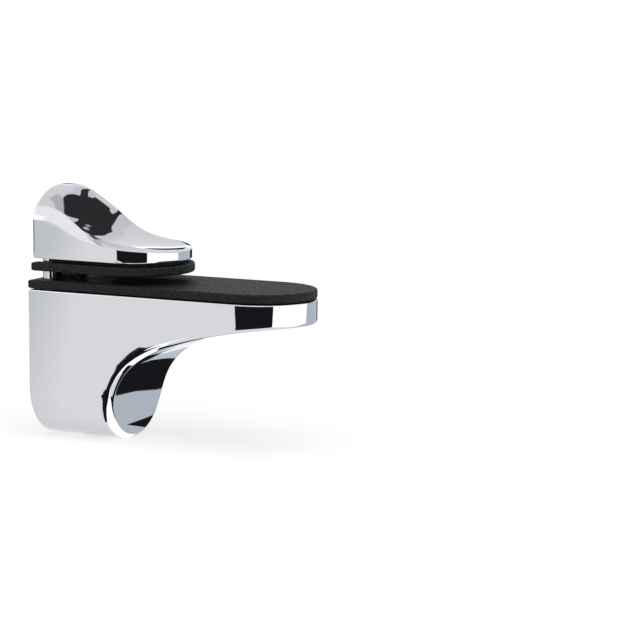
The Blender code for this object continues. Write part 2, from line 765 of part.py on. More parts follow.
def make_lock_screw(steel):
    """Grub screw in the toe, under the plate's tab."""
    low = LOCK_TOP - LOCK_LENGTH
    profile = [
        (LOCK_RADIUS - SCREW_CHAMFER, low),
        (LOCK_RADIUS, low + SCREW_CHAMFER),
        (LOCK_RADIUS, LOCK_TOP - SCREW_CHAMFER),
        (LOCK_RADIUS - SCREW_CHAMFER, LOCK_TOP),
    ]
    screw = turned("lock_screw", profile, LOCK_REACH, steel, 32)
    socket = prism(
        "lock_socket", hexagon(LOCK_SOCKET, LOCK_REACH), low - WALL, low + LOCK_SOCKET_DEPTH, "z"
    )
    cut(screw, socket)
    return screw


def set_origin(obj, reach):
    """Put the object's origin on the vertical axis at this reach, and leave its shape in place."""
    obj.data.transform(Matrix.Translation((0.0, reach, 0.0)))
    obj.location = (0.0, -reach, 0.0)


clear_scene()
chrome = make_material("chrome", (0.78, 0.79, 0.81), 1.0, 0.06)
rubber = make_material("rubber", (0.035, 0.035, 0.038), 0.0, 0.7)
zinc_steel = make_material("zinc_steel", (0.56, 0.57, 0.58), 1.0, 0.35)
make_lower_body(chrome)
make_upper_jaw(chrome)
make_lower_pad(rubber)
make_upper_pad(rubber)
set_origin(make_clamp_screw(zinc_steel), SCREW_REACH)
set_origin(make_retaining_ring(zinc_steel), SCREW_REACH)
make_wall_plate(zinc_steel)
make_lock_screw(zinc_steel)
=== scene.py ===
import functools
import math

import bmesh
import bpy
import numpy as np
from mathutils import Matrix, Vector


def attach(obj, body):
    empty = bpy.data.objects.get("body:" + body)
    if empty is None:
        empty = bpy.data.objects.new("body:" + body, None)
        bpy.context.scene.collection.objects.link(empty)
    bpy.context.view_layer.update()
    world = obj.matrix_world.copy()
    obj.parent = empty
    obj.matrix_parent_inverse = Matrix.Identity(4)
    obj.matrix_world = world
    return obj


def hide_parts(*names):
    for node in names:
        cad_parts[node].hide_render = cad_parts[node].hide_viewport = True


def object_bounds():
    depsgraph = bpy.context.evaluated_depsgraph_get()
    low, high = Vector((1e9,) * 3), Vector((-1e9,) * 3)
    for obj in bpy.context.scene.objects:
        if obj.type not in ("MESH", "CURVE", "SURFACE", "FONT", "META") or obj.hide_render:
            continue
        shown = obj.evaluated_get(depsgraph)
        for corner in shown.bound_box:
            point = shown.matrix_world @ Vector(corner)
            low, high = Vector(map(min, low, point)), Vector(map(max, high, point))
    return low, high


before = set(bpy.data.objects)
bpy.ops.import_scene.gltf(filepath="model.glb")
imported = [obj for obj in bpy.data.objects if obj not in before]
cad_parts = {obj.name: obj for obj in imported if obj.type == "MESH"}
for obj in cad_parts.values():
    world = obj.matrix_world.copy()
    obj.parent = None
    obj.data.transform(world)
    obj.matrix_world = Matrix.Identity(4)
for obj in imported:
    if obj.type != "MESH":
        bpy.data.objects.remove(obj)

CAD_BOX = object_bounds()
MM = 0.001

# Camera
# It stands off the clip's left side and a little above it, at the height and turn of the
# photograph, with a long lens. The clip fills the left half of the square frame.
VIEW_TURN = math.radians(25.743)
VIEW_HEIGHT = math.radians(8.248)
VIEW_ROLL = math.radians(0.380)
VIEW_DISTANCE = 627.9 * MM
VIEW_AIM = Vector((0.0, -35.0, 13.5)) * MM
VIEW_AIM_SIDE = -37.955 * MM
VIEW_AIM_UP = 2.359 * MM
LENS = 136.86
SENSOR = 36.0

level_right = Vector((math.sin(VIEW_TURN), -math.cos(VIEW_TURN), 0.0))
forward = Vector((
    math.cos(VIEW_TURN) * math.cos(VIEW_HEIGHT),
    math.sin(VIEW_TURN) * math.cos(VIEW_HEIGHT),
    -math.sin(VIEW_HEIGHT),
))
level_up = level_right.cross(forward)
view_right = math.cos(VIEW_ROLL) * level_right + math.sin(VIEW_ROLL) * level_up
view_up = math.cos(VIEW_ROLL) * level_up - math.sin(VIEW_ROLL) * level_right
view_place = VIEW_AIM - (
    VIEW_AIM_SIDE * view_right + VIEW_AIM_UP * view_up + VIEW_DISTANCE * forward
)
lens_data = bpy.data.cameras.new("camera")
lens_data.lens = LENS
lens_data.sensor_width = SENSOR
lens_data.clip_start = 10 * MM
camera = bpy.data.objects.new("camera", lens_data)
camera.matrix_world = Matrix.Translation(view_place) @ Matrix(
    (view_right, view_up, -forward)
).transposed().to_4x4()
bpy.context.scene.collection.objects.link(camera)
bpy.context.scene.camera = camera

# Wall plate
# A pressed steel plate, zinc plated, with its foot folded out into a tab. Two countersunk wood
# screws hold it to the wall. The clip hangs on its slanted top edge and is drawn down by the tab.
WIDTH = 28.0 * MM
HALF = WIDTH / 2
WALL = 2.0 * MM
SEAT_GAP = 0.3 * MM
RIM_HEIGHT = 18.5 * MM
PLATE_HALF = 11.0 * MM
PLATE_THICKNESS = 1.6 * MM
PLATE_TOP_DROP = 6.3 * MM
PLATE_BOTTOM_DROP = 29.0 * MM
PLATE_CORNER = 3.0 * MM
PLATE_BREAK = 0.12 * MM
TAB_HALF = 4.0 * MM
TAB_REACH = 5.2 * MM
TAB_UNDER = RIM_HEIGHT - 31.4 * MM
FOLD_OUTSIDE = 2.0 * MM
FOLD_INSIDE = 0.4 * MM
HOLE_SPACING = 11.0 * MM
HOLE_RADIUS = 2.25 * MM
COUNTERSINK_RADIUS = 3.6 * MM
MERGE_DISTANCE = 1e-4 * MM
SHARP_DEGREES = 30.0
SOFTENED_DEGREES = 50.0
GRAIN_DETAIL = 4.0
ZINC = (0.58, 0.60, 0.61)


def set_inputs(node, **values):
    """Set sockets of this node by name."""
    for name, value in values.items():
        node.inputs[name.replace("_", " ")].default_value = value
    return node


def add_node(tree, kind, **values):
    """A new node of the tree with these sockets set."""
    return set_inputs(tree.nodes.new(kind), **values)


def link(first, output, second, entry):
    """Connect two nodes of one tree by the names or numbers of their sockets."""
    first.id_data.links.new(first.outputs[output], second.inputs[entry])


def new_material(name):
    """A material, its node tree and the shader in it."""
    material = bpy.data.materials.new(name)
    material.use_nodes = True
    return material, material.node_tree, material.node_tree.nodes["Principled BSDF"]


def add_bump(tree, noise, depth, shader):
    """Let this noise raise and sink the surface."""
    bump = add_node(tree, "ShaderNodeBump", Strength=1.0, Distance=depth)
    link(noise, "Fac", bump, "Height")
    link(bump, "Normal", shader, "Normal")


def metal(name, colour, roughness, spread, grain, depth, stretch=(1.0, 1.0, 1.0)):
    """Metal whose roughness wanders by spread, with a fine bump of that grain and depth."""
    material, tree, shader = new_material(name)
    set_inputs(shader, Base_Color=(*colour, 1.0), Metallic=1.0)
    where = tree.nodes.new("ShaderNodeTexCoord")
    drawn = add_node(tree, "ShaderNodeMapping", Scale=stretch)
    link(where, "Object", drawn, "Vector")
    cloud = add_node(tree, "ShaderNodeTexNoise", Scale=grain, Detail=GRAIN_DETAIL)
    link(drawn, "Vector", cloud, "Vector")
    level = add_node(
        tree, "ShaderNodeMapRange", To_Min=roughness - spread, To_Max=roughness + spread
    )
    link(cloud, "Fac", level, "Value")
    link(level, "Result", shader, "Roughness")
    add_bump(tree, cloud, depth, shader)
    return material


def place(x, reach, z):
    """A point of the frame, from its distance to the wall."""
    return (x, -reach, z)


def mesh_object(name, bm, material):
    """An object of the scene with this mesh."""
    mesh = bpy.data.meshes.new(name)
    bm.to_mesh(mesh)
    bm.free()
    mesh.materials.append(material)
    obj = bpy.data.objects.new(name, mesh)
    bpy.context.scene.collection.objects.link(obj)
    return obj


def shade(mesh, sharp_degrees):
    """Smooth shading, with a sharp edge wherever faces turn by more than this angle."""
    mesh.shade_smooth()
    mesh.set_sharp_from_angle(angle=math.radians(sharp_degrees))


def new_object(name, bm, material, sharp_degrees=SHARP_DEGREES):
    """A welded and smooth shaded object with its faces outward."""
    bmesh.ops.remove_doubles(bm, verts=bm.verts, dist=MERGE_DISTANCE)
    bmesh.ops.recalc_face_normals(bm, faces=bm.faces)
    obj = mesh_object(name, bm, material)
    shade(obj.data, sharp_degrees)
    return obj


def combine(obj, operation, others):
    """Cut the other solids out of obj, or join them to it. A cut face keeps its tool's finish."""
    for other in others:
        modifier = obj.modifiers.new(other.name, "BOOLEAN")
        modifier.operation = operation
        modifier.solver = "EXACT"
        modifier.material_mode = "TRANSFER"
        modifier.object = other


def settle(obj, sharp_degrees=None, used=()):
    """Replace the object's mesh by its evaluated one, and remove the tools that shaped it."""
    graph = bpy.context.evaluated_depsgraph_get()
    mesh = bpy.data.meshes.new_from_object(obj.evaluated_get(graph))
    mesh.name = obj.name
    obj.modifiers.clear()
    obj.data = mesh
    for tool in used:
        bpy.data.objects.remove(tool, do_unlink=True)
    if sharp_degrees is not None:
        shade(mesh, sharp_degrees)
    return obj


def even_normals(obj):
    """Let the large flat faces decide the shading, so that small rounds beside them look round."""
    modifier = obj.modifiers.new("even normals", "WEIGHTED_NORMAL")
    modifier.keep_sharp = True
    modifier.weight = 100
    return settle(obj)


def add_face(bm, verts):
    """Add a face, leaving out a vertex that repeats its neighbour."""
    kept = [v for i, v in enumerate(verts) if v is not verts[i - 1]]
    if len(kept) > 2:
        bm.faces.new(kept)


def loft(name, sections, material, sharp_degrees=SHARP_DEGREES):
    """A closed solid through closed loops of points that all have the same count."""
    bm = bmesh.new()
    loops = [[bm.verts.new(point) for point in section] for section in sections]
    for first, second in zip(loops, loops[1:]):
        for i, vert in enumerate(first):
            add_face(bm, [first[i - 1], vert, second[i], second[i - 1]])
    bm.faces.new(loops[0])
    bm.faces.new(loops[-1])
    return new_object(name, bm, material, sharp_degrees)


def prism(name, outline, low, high, along, material):
    """Extrude an outline: (reach, z) along x, (x, z) along reach, (x, reach) along z."""
    order = {
        "x": lambda a, b, c: place(c, a, b),
        "reach": lambda a, b, c: place(a, c, b),
        "z": lambda a, b, c: place(a, b, c),
    }[along]
    sections = [[order(a, b, level) for a, b in outline] for level in (low, high)]
    return loft(name, sections, material)


def arc(centre, radius, first, sweep, steps):
    """Points of an arc that starts at the angle first and turns by sweep."""
    angles = [first + sweep * i / steps for i in range(steps + 1)]
    return [(centre[0] + radius * math.cos(a), centre[1] + radius * math.sin(a)) for a in angles]


def circle(radius, centre=(0.0, 0.0), sides=64):
    """Points round a circle, the first of them to the right of its centre."""
    return arc(centre, radius, 0.0, math.tau, sides)[:-1]


def turned(name, profile, reach, material, sides=64):
    """Revolve (radius, z) rings about a vertical axis at this reach, from the bottom up."""
    sections = []
    for radius, z in profile:
        sections.append([place(x, r, z) for x, r in circle(radius, (0.0, reach), sides)])
    return loft(name, sections, material)


def soften(obj, width, segments, sharp_degrees=SHARP_DEGREES):
    """Break the sharp edges of a pressed or turned piece, and keep its flats flat."""
    bevel = obj.modifiers.new("broken edges", "BEVEL")
    bevel.width = width
    bevel.segments = segments
    bevel.limit_method = "ANGLE"
    bevel.angle_limit = math.radians(sharp_degrees)
    settle(obj, SOFTENED_DEGREES)
    return even_normals(obj)


def fold(centre, radius, first, last, steps=10):
    """Points of an arc between two angles in degrees."""
    angles = np.radians(np.linspace(first, last, steps))
    return [(centre[0] + radius * math.cos(a), centre[1] + radius * math.sin(a)) for a in angles]


zinc_plating = metal(
    "zinc_plating", ZINC, roughness=0.33, spread=0.10, grain=420.0, depth=0.012 * MM
)
rolled_zinc = metal(
    "rolled_zinc", ZINC, roughness=0.36, spread=0.12, grain=1100.0, depth=0.008 * MM,
    stretch=(1.0, 1.0, 0.06),
)

plate_top = RIM_HEIGHT - PLATE_TOP_DROP
plate_bottom = RIM_HEIGHT - PLATE_BOTTOM_DROP
inner = PLATE_HALF - PLATE_CORNER
plate_outline = [
    (-PLATE_HALF, plate_top),
    *fold((-inner, plate_bottom + PLATE_CORNER), PLATE_CORNER, 180, 270),
    *fold((inner, plate_bottom + PLATE_CORNER), PLATE_CORNER, 270, 360),
    (PLATE_HALF, plate_top),
]
plate = prism("plate_pressing", plate_outline, 0.0, PLATE_THICKNESS, "reach", rolled_zinc)
tab_top = TAB_UNDER + PLATE_THICKNESS
tab_profile = [
    (0.0, plate_bottom + WALL),
    (PLATE_THICKNESS, plate_bottom + WALL),
    *fold((PLATE_THICKNESS + FOLD_INSIDE, tab_top + FOLD_INSIDE), FOLD_INSIDE, 180, 270, 6),
    (TAB_REACH, tab_top),
    (TAB_REACH, TAB_UNDER),
    *fold((FOLD_OUTSIDE, TAB_UNDER + FOLD_OUTSIDE), FOLD_OUTSIDE, 270, 180),
]
tab = prism("plate_tab", tab_profile, -TAB_HALF, TAB_HALF, "x", rolled_zinc)
combine(plate, "UNION", [tab])
slant = prism(
    "plate_slant",
    [(-WALL, plate_top - PLATE_THICKNESS - WALL), (PLATE_THICKNESS + WALL, plate_top + WALL),
     (-WALL, plate_top + WALL)],
    -WIDTH, WIDTH, "x", rolled_zinc,
)
plate_holes = []
for middle in (-HOLE_SPACING / 2, HOLE_SPACING / 2):
    slope = COUNTERSINK_RADIUS - HOLE_RADIUS
    sections = [
        [place(x, reach, z) for x, z in circle(radius, (0.0, middle))]
        for radius, reach in (
            (HOLE_RADIUS, -WALL),
            (HOLE_RADIUS, PLATE_THICKNESS - slope),
            (COUNTERSINK_RADIUS, PLATE_THICKNESS),
            (COUNTERSINK_RADIUS, PLATE_THICKNESS + WALL),
        )
    ]
    plate_holes.append(loft("plate_hole", sections, rolled_zinc))
combine(plate, "DIFFERENCE", [slant, *plate_holes])
settle(plate, SHARP_DEGREES, [tab, slant, *plate_holes])
soften(plate, PLATE_BREAK, 2)
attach(plate, "base")
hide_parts("wall_plate")

# Lower body
# A zinc die casting, polished and chromed outside and left as cast inside. Deck, ribs and two
# screw bosses stand in its hollow. The under side sweeps down from the tongue into a round toe,
# and the edge between the flat sides and that sweep is rolled.
BODY_REACH = 75.0 * MM
BODY_TIP_LENGTH = 15.0 * MM
BODY_SHOULDER = BODY_REACH - BODY_TIP_LENGTH
BODY_DROP = 39.3 * MM
TOE_REACH = 24.0 * MM
TOE_CENTRE_DROP = BODY_DROP - HALF
TONGUE_TIP_DROP = 5.9 * MM
TONGUE_ROOT_REACH = 42.0 * MM
TONGUE_ROOT_DROP = 12.0 * MM
SWOOP_END_DROP = 34.0 * MM
SWOOP_PULL = 0.72
SWOOP_STEPS = (200, 400, 100)
TONGUE_POWER = 1.8
TIP_ROLL = 0.8 * MM
TOE_ROLL = 2.3 * MM
ROLL_FULL_DROP = 1.5 * TONGUE_ROOT_DROP
ROLL_NARROWNESS = 0.5
CORE_ROLL = 0.6 * MM
RIM_ROUND = 0.35 * MM
DECK_THICKNESS = 2.5 * MM
DECK_REACH = 20.0 * MM
RIB_THICKNESS = 1.6 * MM
CROSS_RIBS = 3
GUIDE_RIB_DROP = 24.0 * MM
BACK_BAR_REACH = 1.9 * MM
PLINTH_DEPTH = 1.5 * MM
STEM_BACK = 2.8 * MM
STEM_THICKNESS = 3.15 * MM
STEM_FRONT = STEM_BACK + STEM_THICKNESS
STEM_HALF = HALF - WALL - SEAT_GAP
POST_RADIUS = 4.5 * MM
WEB_THICKNESS = 4.0 * MM
SCREW_REACH = 13.0 * MM
SCREW_RADIUS = 2.5 * MM
SCREW_LENGTH = 35.0 * MM
SCREW_TOP_RISE = 6.0 * MM
HEAD_RADIUS = 4.25 * MM
SHELF_THICKNESS = 3.0 * MM
SHELF_UNDER = RIM_HEIGHT + SCREW_TOP_RISE - SCREW_LENGTH + SEAT_GAP
SHELF_TOP = SHELF_UNDER + SHELF_THICKNESS
LOCK_REACH = 3.4 * MM
LOCK_RADIUS = 2.0 * MM
LOCK_BOSS_WALL = 1.4 * MM
BODY_STEPS = (32, 90, 12)
CORE_STEPS = (24, 60, 6)
POST_STEPS = 48
BOSS_STEPS = 32
TINY = 1e-9
CHROME = (0.66, 0.67, 0.70)
DULL_CHROME = (0.62, 0.63, 0.65)


def add_pair(bm, x, reach, z):
    """The vertices at -x and +x, which are one vertex on the middle plane."""
    right = bm.verts.new(place(x, reach, z))
    left = right if x < TINY else bm.verts.new(place(-x, reach, z))
    return left, right


def close_loop(bm, pairs):
    """A face round these pairs, the last of which is one vertex on the middle plane."""
    add_face(bm, [*[pair[0] for pair in pairs], *[pair[1] for pair in reversed(pairs)][1:]])


def box(name, x, reach, z, material):
    """A block between two values of each of x, reach and z."""
    outline = [(x[0], reach[0]), (x[1], reach[0]), (x[1], reach[1]), (x[0], reach[1])]
    return prism(name, outline, z[0], z[1], "z", material)


class Swoop:
    """The under side in side view: a tongue that sinks slowly, a bend, and the toe's front."""

    def __init__(self, inset):
        sag = TONGUE_ROOT_DROP - TONGUE_TIP_DROP
        span = BODY_REACH - TONGUE_ROOT_REACH
        slope = TONGUE_POWER * sag / span
        root = np.array([TONGUE_ROOT_REACH, TONGUE_ROOT_DROP])
        end = np.array([TOE_REACH, SWOOP_END_DROP])
        corner = np.array([TOE_REACH, TONGUE_ROOT_DROP + slope * (TONGUE_ROOT_REACH - TOE_REACH)])
        low = np.array([TOE_REACH, BODY_DROP + HALF])
        pulls = root + SWOOP_PULL * (corner - root), end + SWOOP_PULL * (corner - end)
        tongue_steps, bend_steps, toe_steps = SWOOP_STEPS
        t = np.linspace(0, 1, bend_steps)[:, None]
        bend = (
            (1 - t) ** 3 * root
            + 3 * (1 - t) ** 2 * t * pulls[0]
            + 3 * (1 - t) * t**2 * pulls[1]
            + t**3 * end
        )
        reach = np.linspace(BODY_REACH + HALF, TONGUE_ROOT_REACH, tongue_steps)[:-1]
        share = np.maximum(BODY_REACH - reach, 0.0) / span
        line = np.stack([reach, TONGUE_TIP_DROP + sag * share**TONGUE_POWER], axis=1)
        down = end + np.linspace(0, 1, toe_steps)[1:, None] * (low - end)
        points = np.concatenate([line, bend, down])
        tangent = np.gradient(points, axis=0)
        tangent /= np.linalg.norm(tangent, axis=1)[:, None]
        self.normal = np.stack([tangent[:, 1], -tangent[:, 0]], axis=1)
        self.points = points - inset * self.normal
        steps = np.linalg.norm(np.diff(self.points, axis=0), axis=1)
        self.length = np.concatenate([[0], np.cumsum(steps)])

    def length_at_reach(self, reach):
        return np.interp(-reach, -self.points[:, 0], self.length)

    def length_at_drop(self, drop):
        return np.interp(drop, self.points[:, 1], self.length)

    def at(self, length, lift):
        """The point at this length along the under side, lifted into the body."""
        values = [np.interp(length, self.length, column) for column in self.points.T]
        normal = [np.interp(length, self.length, column) for column in self.normal.T]
        return values[0] - lift * normal[0], values[1] - lift * normal[1]


def body_form(name, inset, rolls, narrow, top, back, material, counts):
    """The body's outer form, or with an inset the core that hollows it.

    Stations run from the middle of the tip, along one side, to the middle of the toe, and a roll
    of rings takes each from the side wall into the under side.
    """
    swoop = Swoop(inset)
    half = HALF - inset
    tip_length = BODY_TIP_LENGTH - inset
    quarter = math.pi / 2
    ends, sides, rounds = counts
    tip = [("tip", quarter * (1 - i / ends)) for i in range(ends + 1)]
    start = swoop.length_at_reach(BODY_SHOULDER)
    stop = swoop.length_at_drop(TOE_CENTRE_DROP)
    side = [("side", start + (stop - start) * i / sides) for i in range(1, sides)]
    toe = [("toe", quarter * i / ends) for i in range(ends + 1)]
    stations = tip + side + toe

    def spot(station, shrink, lift):
        kind, value = station
        if kind == "tip":
            length = swoop.length_at_reach(BODY_SHOULDER + (tip_length - shrink) * math.sin(value))
        elif kind == "toe":
            length = swoop.length_at_drop(TOE_CENTRE_DROP + (half - shrink) * math.sin(value))
        else:
            length = value
        x = (half - shrink) * (1.0 if kind == "side" else math.cos(value))
        reach, drop = swoop.at(length, lift)
        return x, reach, drop

    def roll_at(station):
        drop = spot(station, 0.0, 0.0)[2]
        return float(np.interp(drop, (TONGUE_TIP_DROP, ROLL_FULL_DROP), rolls))

    bm = bmesh.new()
    rings = []
    for step in range(rounds + 1):
        angle = quarter * step / rounds
        ring = []
        for station in stations:
            roll = roll_at(station)
            x, reach, drop = spot(
                station, narrow * roll * (1 - math.cos(angle)), roll * (1 - math.sin(angle))
            )
            ring.append(add_pair(bm, x, reach, RIM_HEIGHT - drop))
        rings.append(ring)
    for inner, outer in zip(rings, rings[1:]):
        for i in range(len(stations) - 1):
            for s in (0, 1):
                add_face(bm, [inner[i][s], inner[i + 1][s], outer[i + 1][s], outer[i][s]])
    for first, second in zip(rings[-1], rings[-1][1:]):
        add_face(bm, [first[0], second[0], second[1], first[1]])

    rim = [
        add_pair(bm, half * math.cos(a), BODY_SHOULDER + tip_length * math.sin(a), top)
        for _, a in tip
    ]
    heel = [
        add_pair(bm, half * math.cos(a), back, RIM_HEIGHT - TOE_CENTRE_DROP - half * math.sin(a))
        for _, a in toe
    ]
    corner = add_pair(bm, half, back, top)
    edge = rings[0]
    toe_start = len(tip) + len(side)
    for s in (0, 1):
        for i in range(len(tip) - 1):
            add_face(bm, [rim[i][s], rim[i + 1][s], edge[i + 1][s], edge[i][s]])
        for i in range(len(toe) - 1):
            j = toe_start + i
            add_face(bm, [edge[j][s], edge[j + 1][s], heel[i + 1][s], heel[i][s]])
        flank = [pair[s] for pair in edge[len(tip) - 1 : toe_start + 1]]
        add_face(bm, [rim[-1][s], corner[s], heel[0][s], *reversed(flank)])
    close_loop(bm, [corner, *reversed(rim)])
    close_loop(bm, [corner, *heel])
    if inset == 0.0:
        bmesh.ops.recalc_face_normals(bm, faces=bm.faces)
        limits = [e for e in bm.edges if on_limit(e, top, 2) or on_limit(e, -back, 1)]
        bmesh.ops.bevel(
            bm, geom=limits, offset=RIM_ROUND, segments=4, profile=0.5, affect="EDGES"
        )
    return new_object(name, bm, material)


def on_limit(edge, value, axis):
    """Whether this edge bounds the flat face that lies at this value of this axis."""
    flat = [f for f in edge.link_faces if all(abs(v.co[axis] - value) < TINY for v in f.verts)]
    return len(flat) == 1


def post_outline(clearance):
    """Plan view of the stem's web and round post as (x, reach), from inside the stem's plate."""
    web = WEB_THICKNESS / 2 + clearance
    radius = POST_RADIUS + clearance
    open_angle = math.asin(web / radius)
    sweep = 2 * (math.pi - open_angle)
    first = -math.pi / 2 + open_angle
    post = arc((0.0, SCREW_REACH), radius, first, sweep, POST_STEPS)
    start = STEM_FRONT - STEM_THICKNESS / 2
    return [(web, start), *post, (-web, start)]


def stem_outline(clearance, back, front):
    """Plan view of the whole stem as (x, reach): its plate, web and post."""
    half = STEM_HALF + clearance
    web = WEB_THICKNESS / 2 + clearance
    plate = [(-half, front), (-half, back), (half, back), (half, front)]
    return [*plate, (web, front), *post_outline(clearance)[1:-1], (-web, front)]


def bore(name, radius, low, high, reach):
    """The tool for a round hole in a casting, with room for a screw of this radius."""
    rings = [(radius + SEAT_GAP, low), (radius + SEAT_GAP, high)]
    return turned(name, rings, reach, cast_plating)


polished_chrome = metal(
    "polished_chrome", CHROME, roughness=0.02, spread=0.008, grain=90.0, depth=0.001 * MM
)
cast_plating = metal(
    "cast_plating", DULL_CHROME, roughness=0.30, spread=0.08, grain=900.0, depth=0.03 * MM
)

body = body_form(
    "body_casting", 0.0, (TIP_ROLL, TOE_ROLL), ROLL_NARROWNESS, RIM_HEIGHT, 0.0,
    polished_chrome, BODY_STEPS,
)
above = RIM_HEIGHT + WALL
core = body_form(
    "body_core", WALL, (CORE_ROLL, CORE_ROLL), 1.0, above, -WALL, cast_plating, CORE_STEPS
)
wide = (-WIDTH, WIDTH)
deck_under = RIM_HEIGHT - DECK_THICKNESS
rib_top = RIM_HEIGHT - PLINTH_DEPTH - SEAT_GAP
rib_bottom = RIM_HEIGHT - BODY_DROP
half_rib = RIB_THICKNESS / 2
guide_front = STEM_FRONT + SEAT_GAP
boss = HEAD_RADIUS + SEAT_GAP + WALL
clamp_outline = [
    *arc((0.0, SCREW_REACH), boss, math.pi, math.pi, BOSS_STEPS),
    (boss, TOE_REACH), (-boss, TOE_REACH),
]
lock_boss_top = TAB_UNDER - SEAT_GAP * 2
bar_low = RIM_HEIGHT - PLATE_TOP_DROP + SEAT_GAP * math.sqrt(2)
bar_outline = [
    (-2 * WALL, above),
    (BACK_BAR_REACH, above),
    (BACK_BAR_REACH, bar_low + BACK_BAR_REACH - PLATE_THICKNESS),
    (-2 * WALL, bar_low - 2 * WALL - PLATE_THICKNESS),
]
kept = [
    box("deck", wide, (-2 * WALL, DECK_REACH), (deck_under, above + WALL), cast_plating),
    box("spine", (-half_rib, half_rib), (DECK_REACH, BODY_REACH), (rib_bottom, rib_top),
        cast_plating),
    prism("clamp_boss", clamp_outline, rib_bottom - WALL, SHELF_TOP, "z", cast_plating),
    prism("lock_boss", circle(LOCK_RADIUS + SEAT_GAP + LOCK_BOSS_WALL, (0.0, LOCK_REACH)),
          rib_bottom - WALL, lock_boss_top, "z", cast_plating),
    prism("back_bar", bar_outline, -WIDTH, WIDTH, "x", cast_plating),
]
for i in range(CROSS_RIBS):
    reach = DECK_REACH + (BODY_REACH - DECK_REACH) / (CROSS_RIBS + 1) * (i + 1)
    kept.append(box(f"cross_rib_{i}", wide, (reach - half_rib, reach + half_rib),
                    (rib_bottom, rib_top), cast_plating))
for side in (-1, 1):
    span = sorted((side * (POST_RADIUS + WALL), side * WIDTH))
    kept.append(box(f"guide_rib_{side}", span, (guide_front, guide_front + RIB_THICKNESS),
                    (RIM_HEIGHT - GUIDE_RIB_DROP, above), cast_plating))
combine(core, "DIFFERENCE", kept)
holes = [
    prism("stem_slot", stem_outline(SEAT_GAP, BACK_BAR_REACH, guide_front), deck_under - WALL,
          above, "z", cast_plating),
    bore("counterbore", HEAD_RADIUS, rib_bottom - WALL, SHELF_UNDER, SCREW_REACH),
    bore("shank_hole", SCREW_RADIUS, SHELF_UNDER - WALL, SHELF_TOP + WALL, SCREW_REACH),
    bore("lock_hole", LOCK_RADIUS, rib_bottom - WALL, lock_boss_top + WALL, LOCK_REACH),
]
combine(body, "DIFFERENCE", [core, *holes])
settle(body, SHARP_DEGREES, [core, *kept, *holes])
even_normals(body)
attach(body, "base")
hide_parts("lower_body")

# Upper jaw
# The second chromed zinc casting. A saddle is scooped out of its top between two ridges, bevels
# run down from them to the flat sides, and all of it thins out to a half-oval tip. Its stem,
# a wide plate with a round post in front, slides in the body's slot.
GLASS_GAP = 2.35 * MM
PAD_THICKNESS = 2.3 * MM
LOWER_PAD_BOTTOM = RIM_HEIGHT + SEAT_GAP
UPPER_PAD_BOTTOM = LOWER_PAD_BOTTOM + PAD_THICKNESS + GLASS_GAP
UPPER_PAD_TOP = UPPER_PAD_BOTTOM + PAD_THICKNESS
JAW_RIM_GAP = 1.0 * MM
JAW_RIM = UPPER_PAD_TOP + JAW_RIM_GAP
JAW_BACK = 1.3 * MM
JAW_BACK_ROUND = 1.0 * MM
JAW_REACH = 38.5 * MM
JAW_TIP_LENGTH = 12.5 * MM
JAW_SHOULDER = JAW_REACH - JAW_TIP_LENGTH
JAW_RECESS = 0.9 * MM
JAW_CORE_REACH = 19.0 * MM
JAW_ROOF = 2.4 * MM
JAW_RIM_ROUND = 0.25 * MM
CROWN_RISE = 18.25 * MM
CROWN_TIP_RISE = 1.95 * MM
RIDGE_RISE = 13.45 * MM
RIDGE_TIP_RISE = 2.95 * MM
SIDE_RISE = 10.05 * MM
SIDE_TIP_RISE = 2.75 * MM
RIDGE_INSET = 1.5 * MM
RIDGE_SOFTNESS = 0.18 * MM
BEVEL_POWER = 0.77
ARCH_POWER = 2.6
SIDE_FALL = (0.342, 3)
RIDGE_FALL = (0.389, 4)
CROWN_FALL = (0.326, 4)
WALL_POINTS = 120
BEVEL_POINTS = 60
SCOOP_POINTS = 200
SECTION_POINTS = (5, 9, 5, 9, 26)
SOFTENING_POINTS = 21
POCKET_STEPS = 16
ARCH_STEPS = 12
BACK_STATIONS = 8
SIDE_STATIONS = 56
TIP_STATIONS = 40
MIDDLE_SHARE = 1e-4
JAW_SHARP_DEGREES = 40.0
STEM_DROP = 27.0 * MM
STEM_CHAMFER = 3.0 * MM
POST_DROP = 18.0 * MM
POST_SHOULDER = 0.15 * MM
SCREW_HOLE_RISE = 10.0 * MM
TIP_DROOP = 0.7 * MM
DROOP_START = 28.0 * MM
STEM_EDGE = 0.5 * MM


def fall(reach, half_way, power):
    """From 1 at the wall down to nearly 0 at the jaw's tip, and 0.5 at half_way of its reach."""
    return 1 / (1 + (reach / JAW_REACH / half_way) ** power)


def jaw_levels(reach):
    """Rise of the side's top line, of the ridge and of the middle of the scoop."""
    droop = TIP_DROOP * (max(0.0, reach - DROOP_START) / (JAW_REACH - DROOP_START)) ** 2
    side = SIDE_TIP_RISE + (SIDE_RISE - SIDE_TIP_RISE) * fall(reach, *SIDE_FALL)
    ridge = RIDGE_TIP_RISE + (RIDGE_RISE - RIDGE_TIP_RISE) * fall(reach, *RIDGE_FALL)
    crown = CROWN_TIP_RISE + (CROWN_RISE - CROWN_TIP_RISE) * fall(reach, *CROWN_FALL)
    return side - droop, ridge - droop, crown - droop


def jaw_height(inward, reach):
    """Rise of the top at this distance in from the side, before its creases are softened."""
    side, ridge, crown = jaw_levels(reach)
    if inward < RIDGE_INSET:
        return side + (ridge - side) * (inward / RIDGE_INSET) ** BEVEL_POWER
    across = (HALF - inward) / (HALF - RIDGE_INSET)
    return crown + (ridge - crown) * across**ARCH_POWER


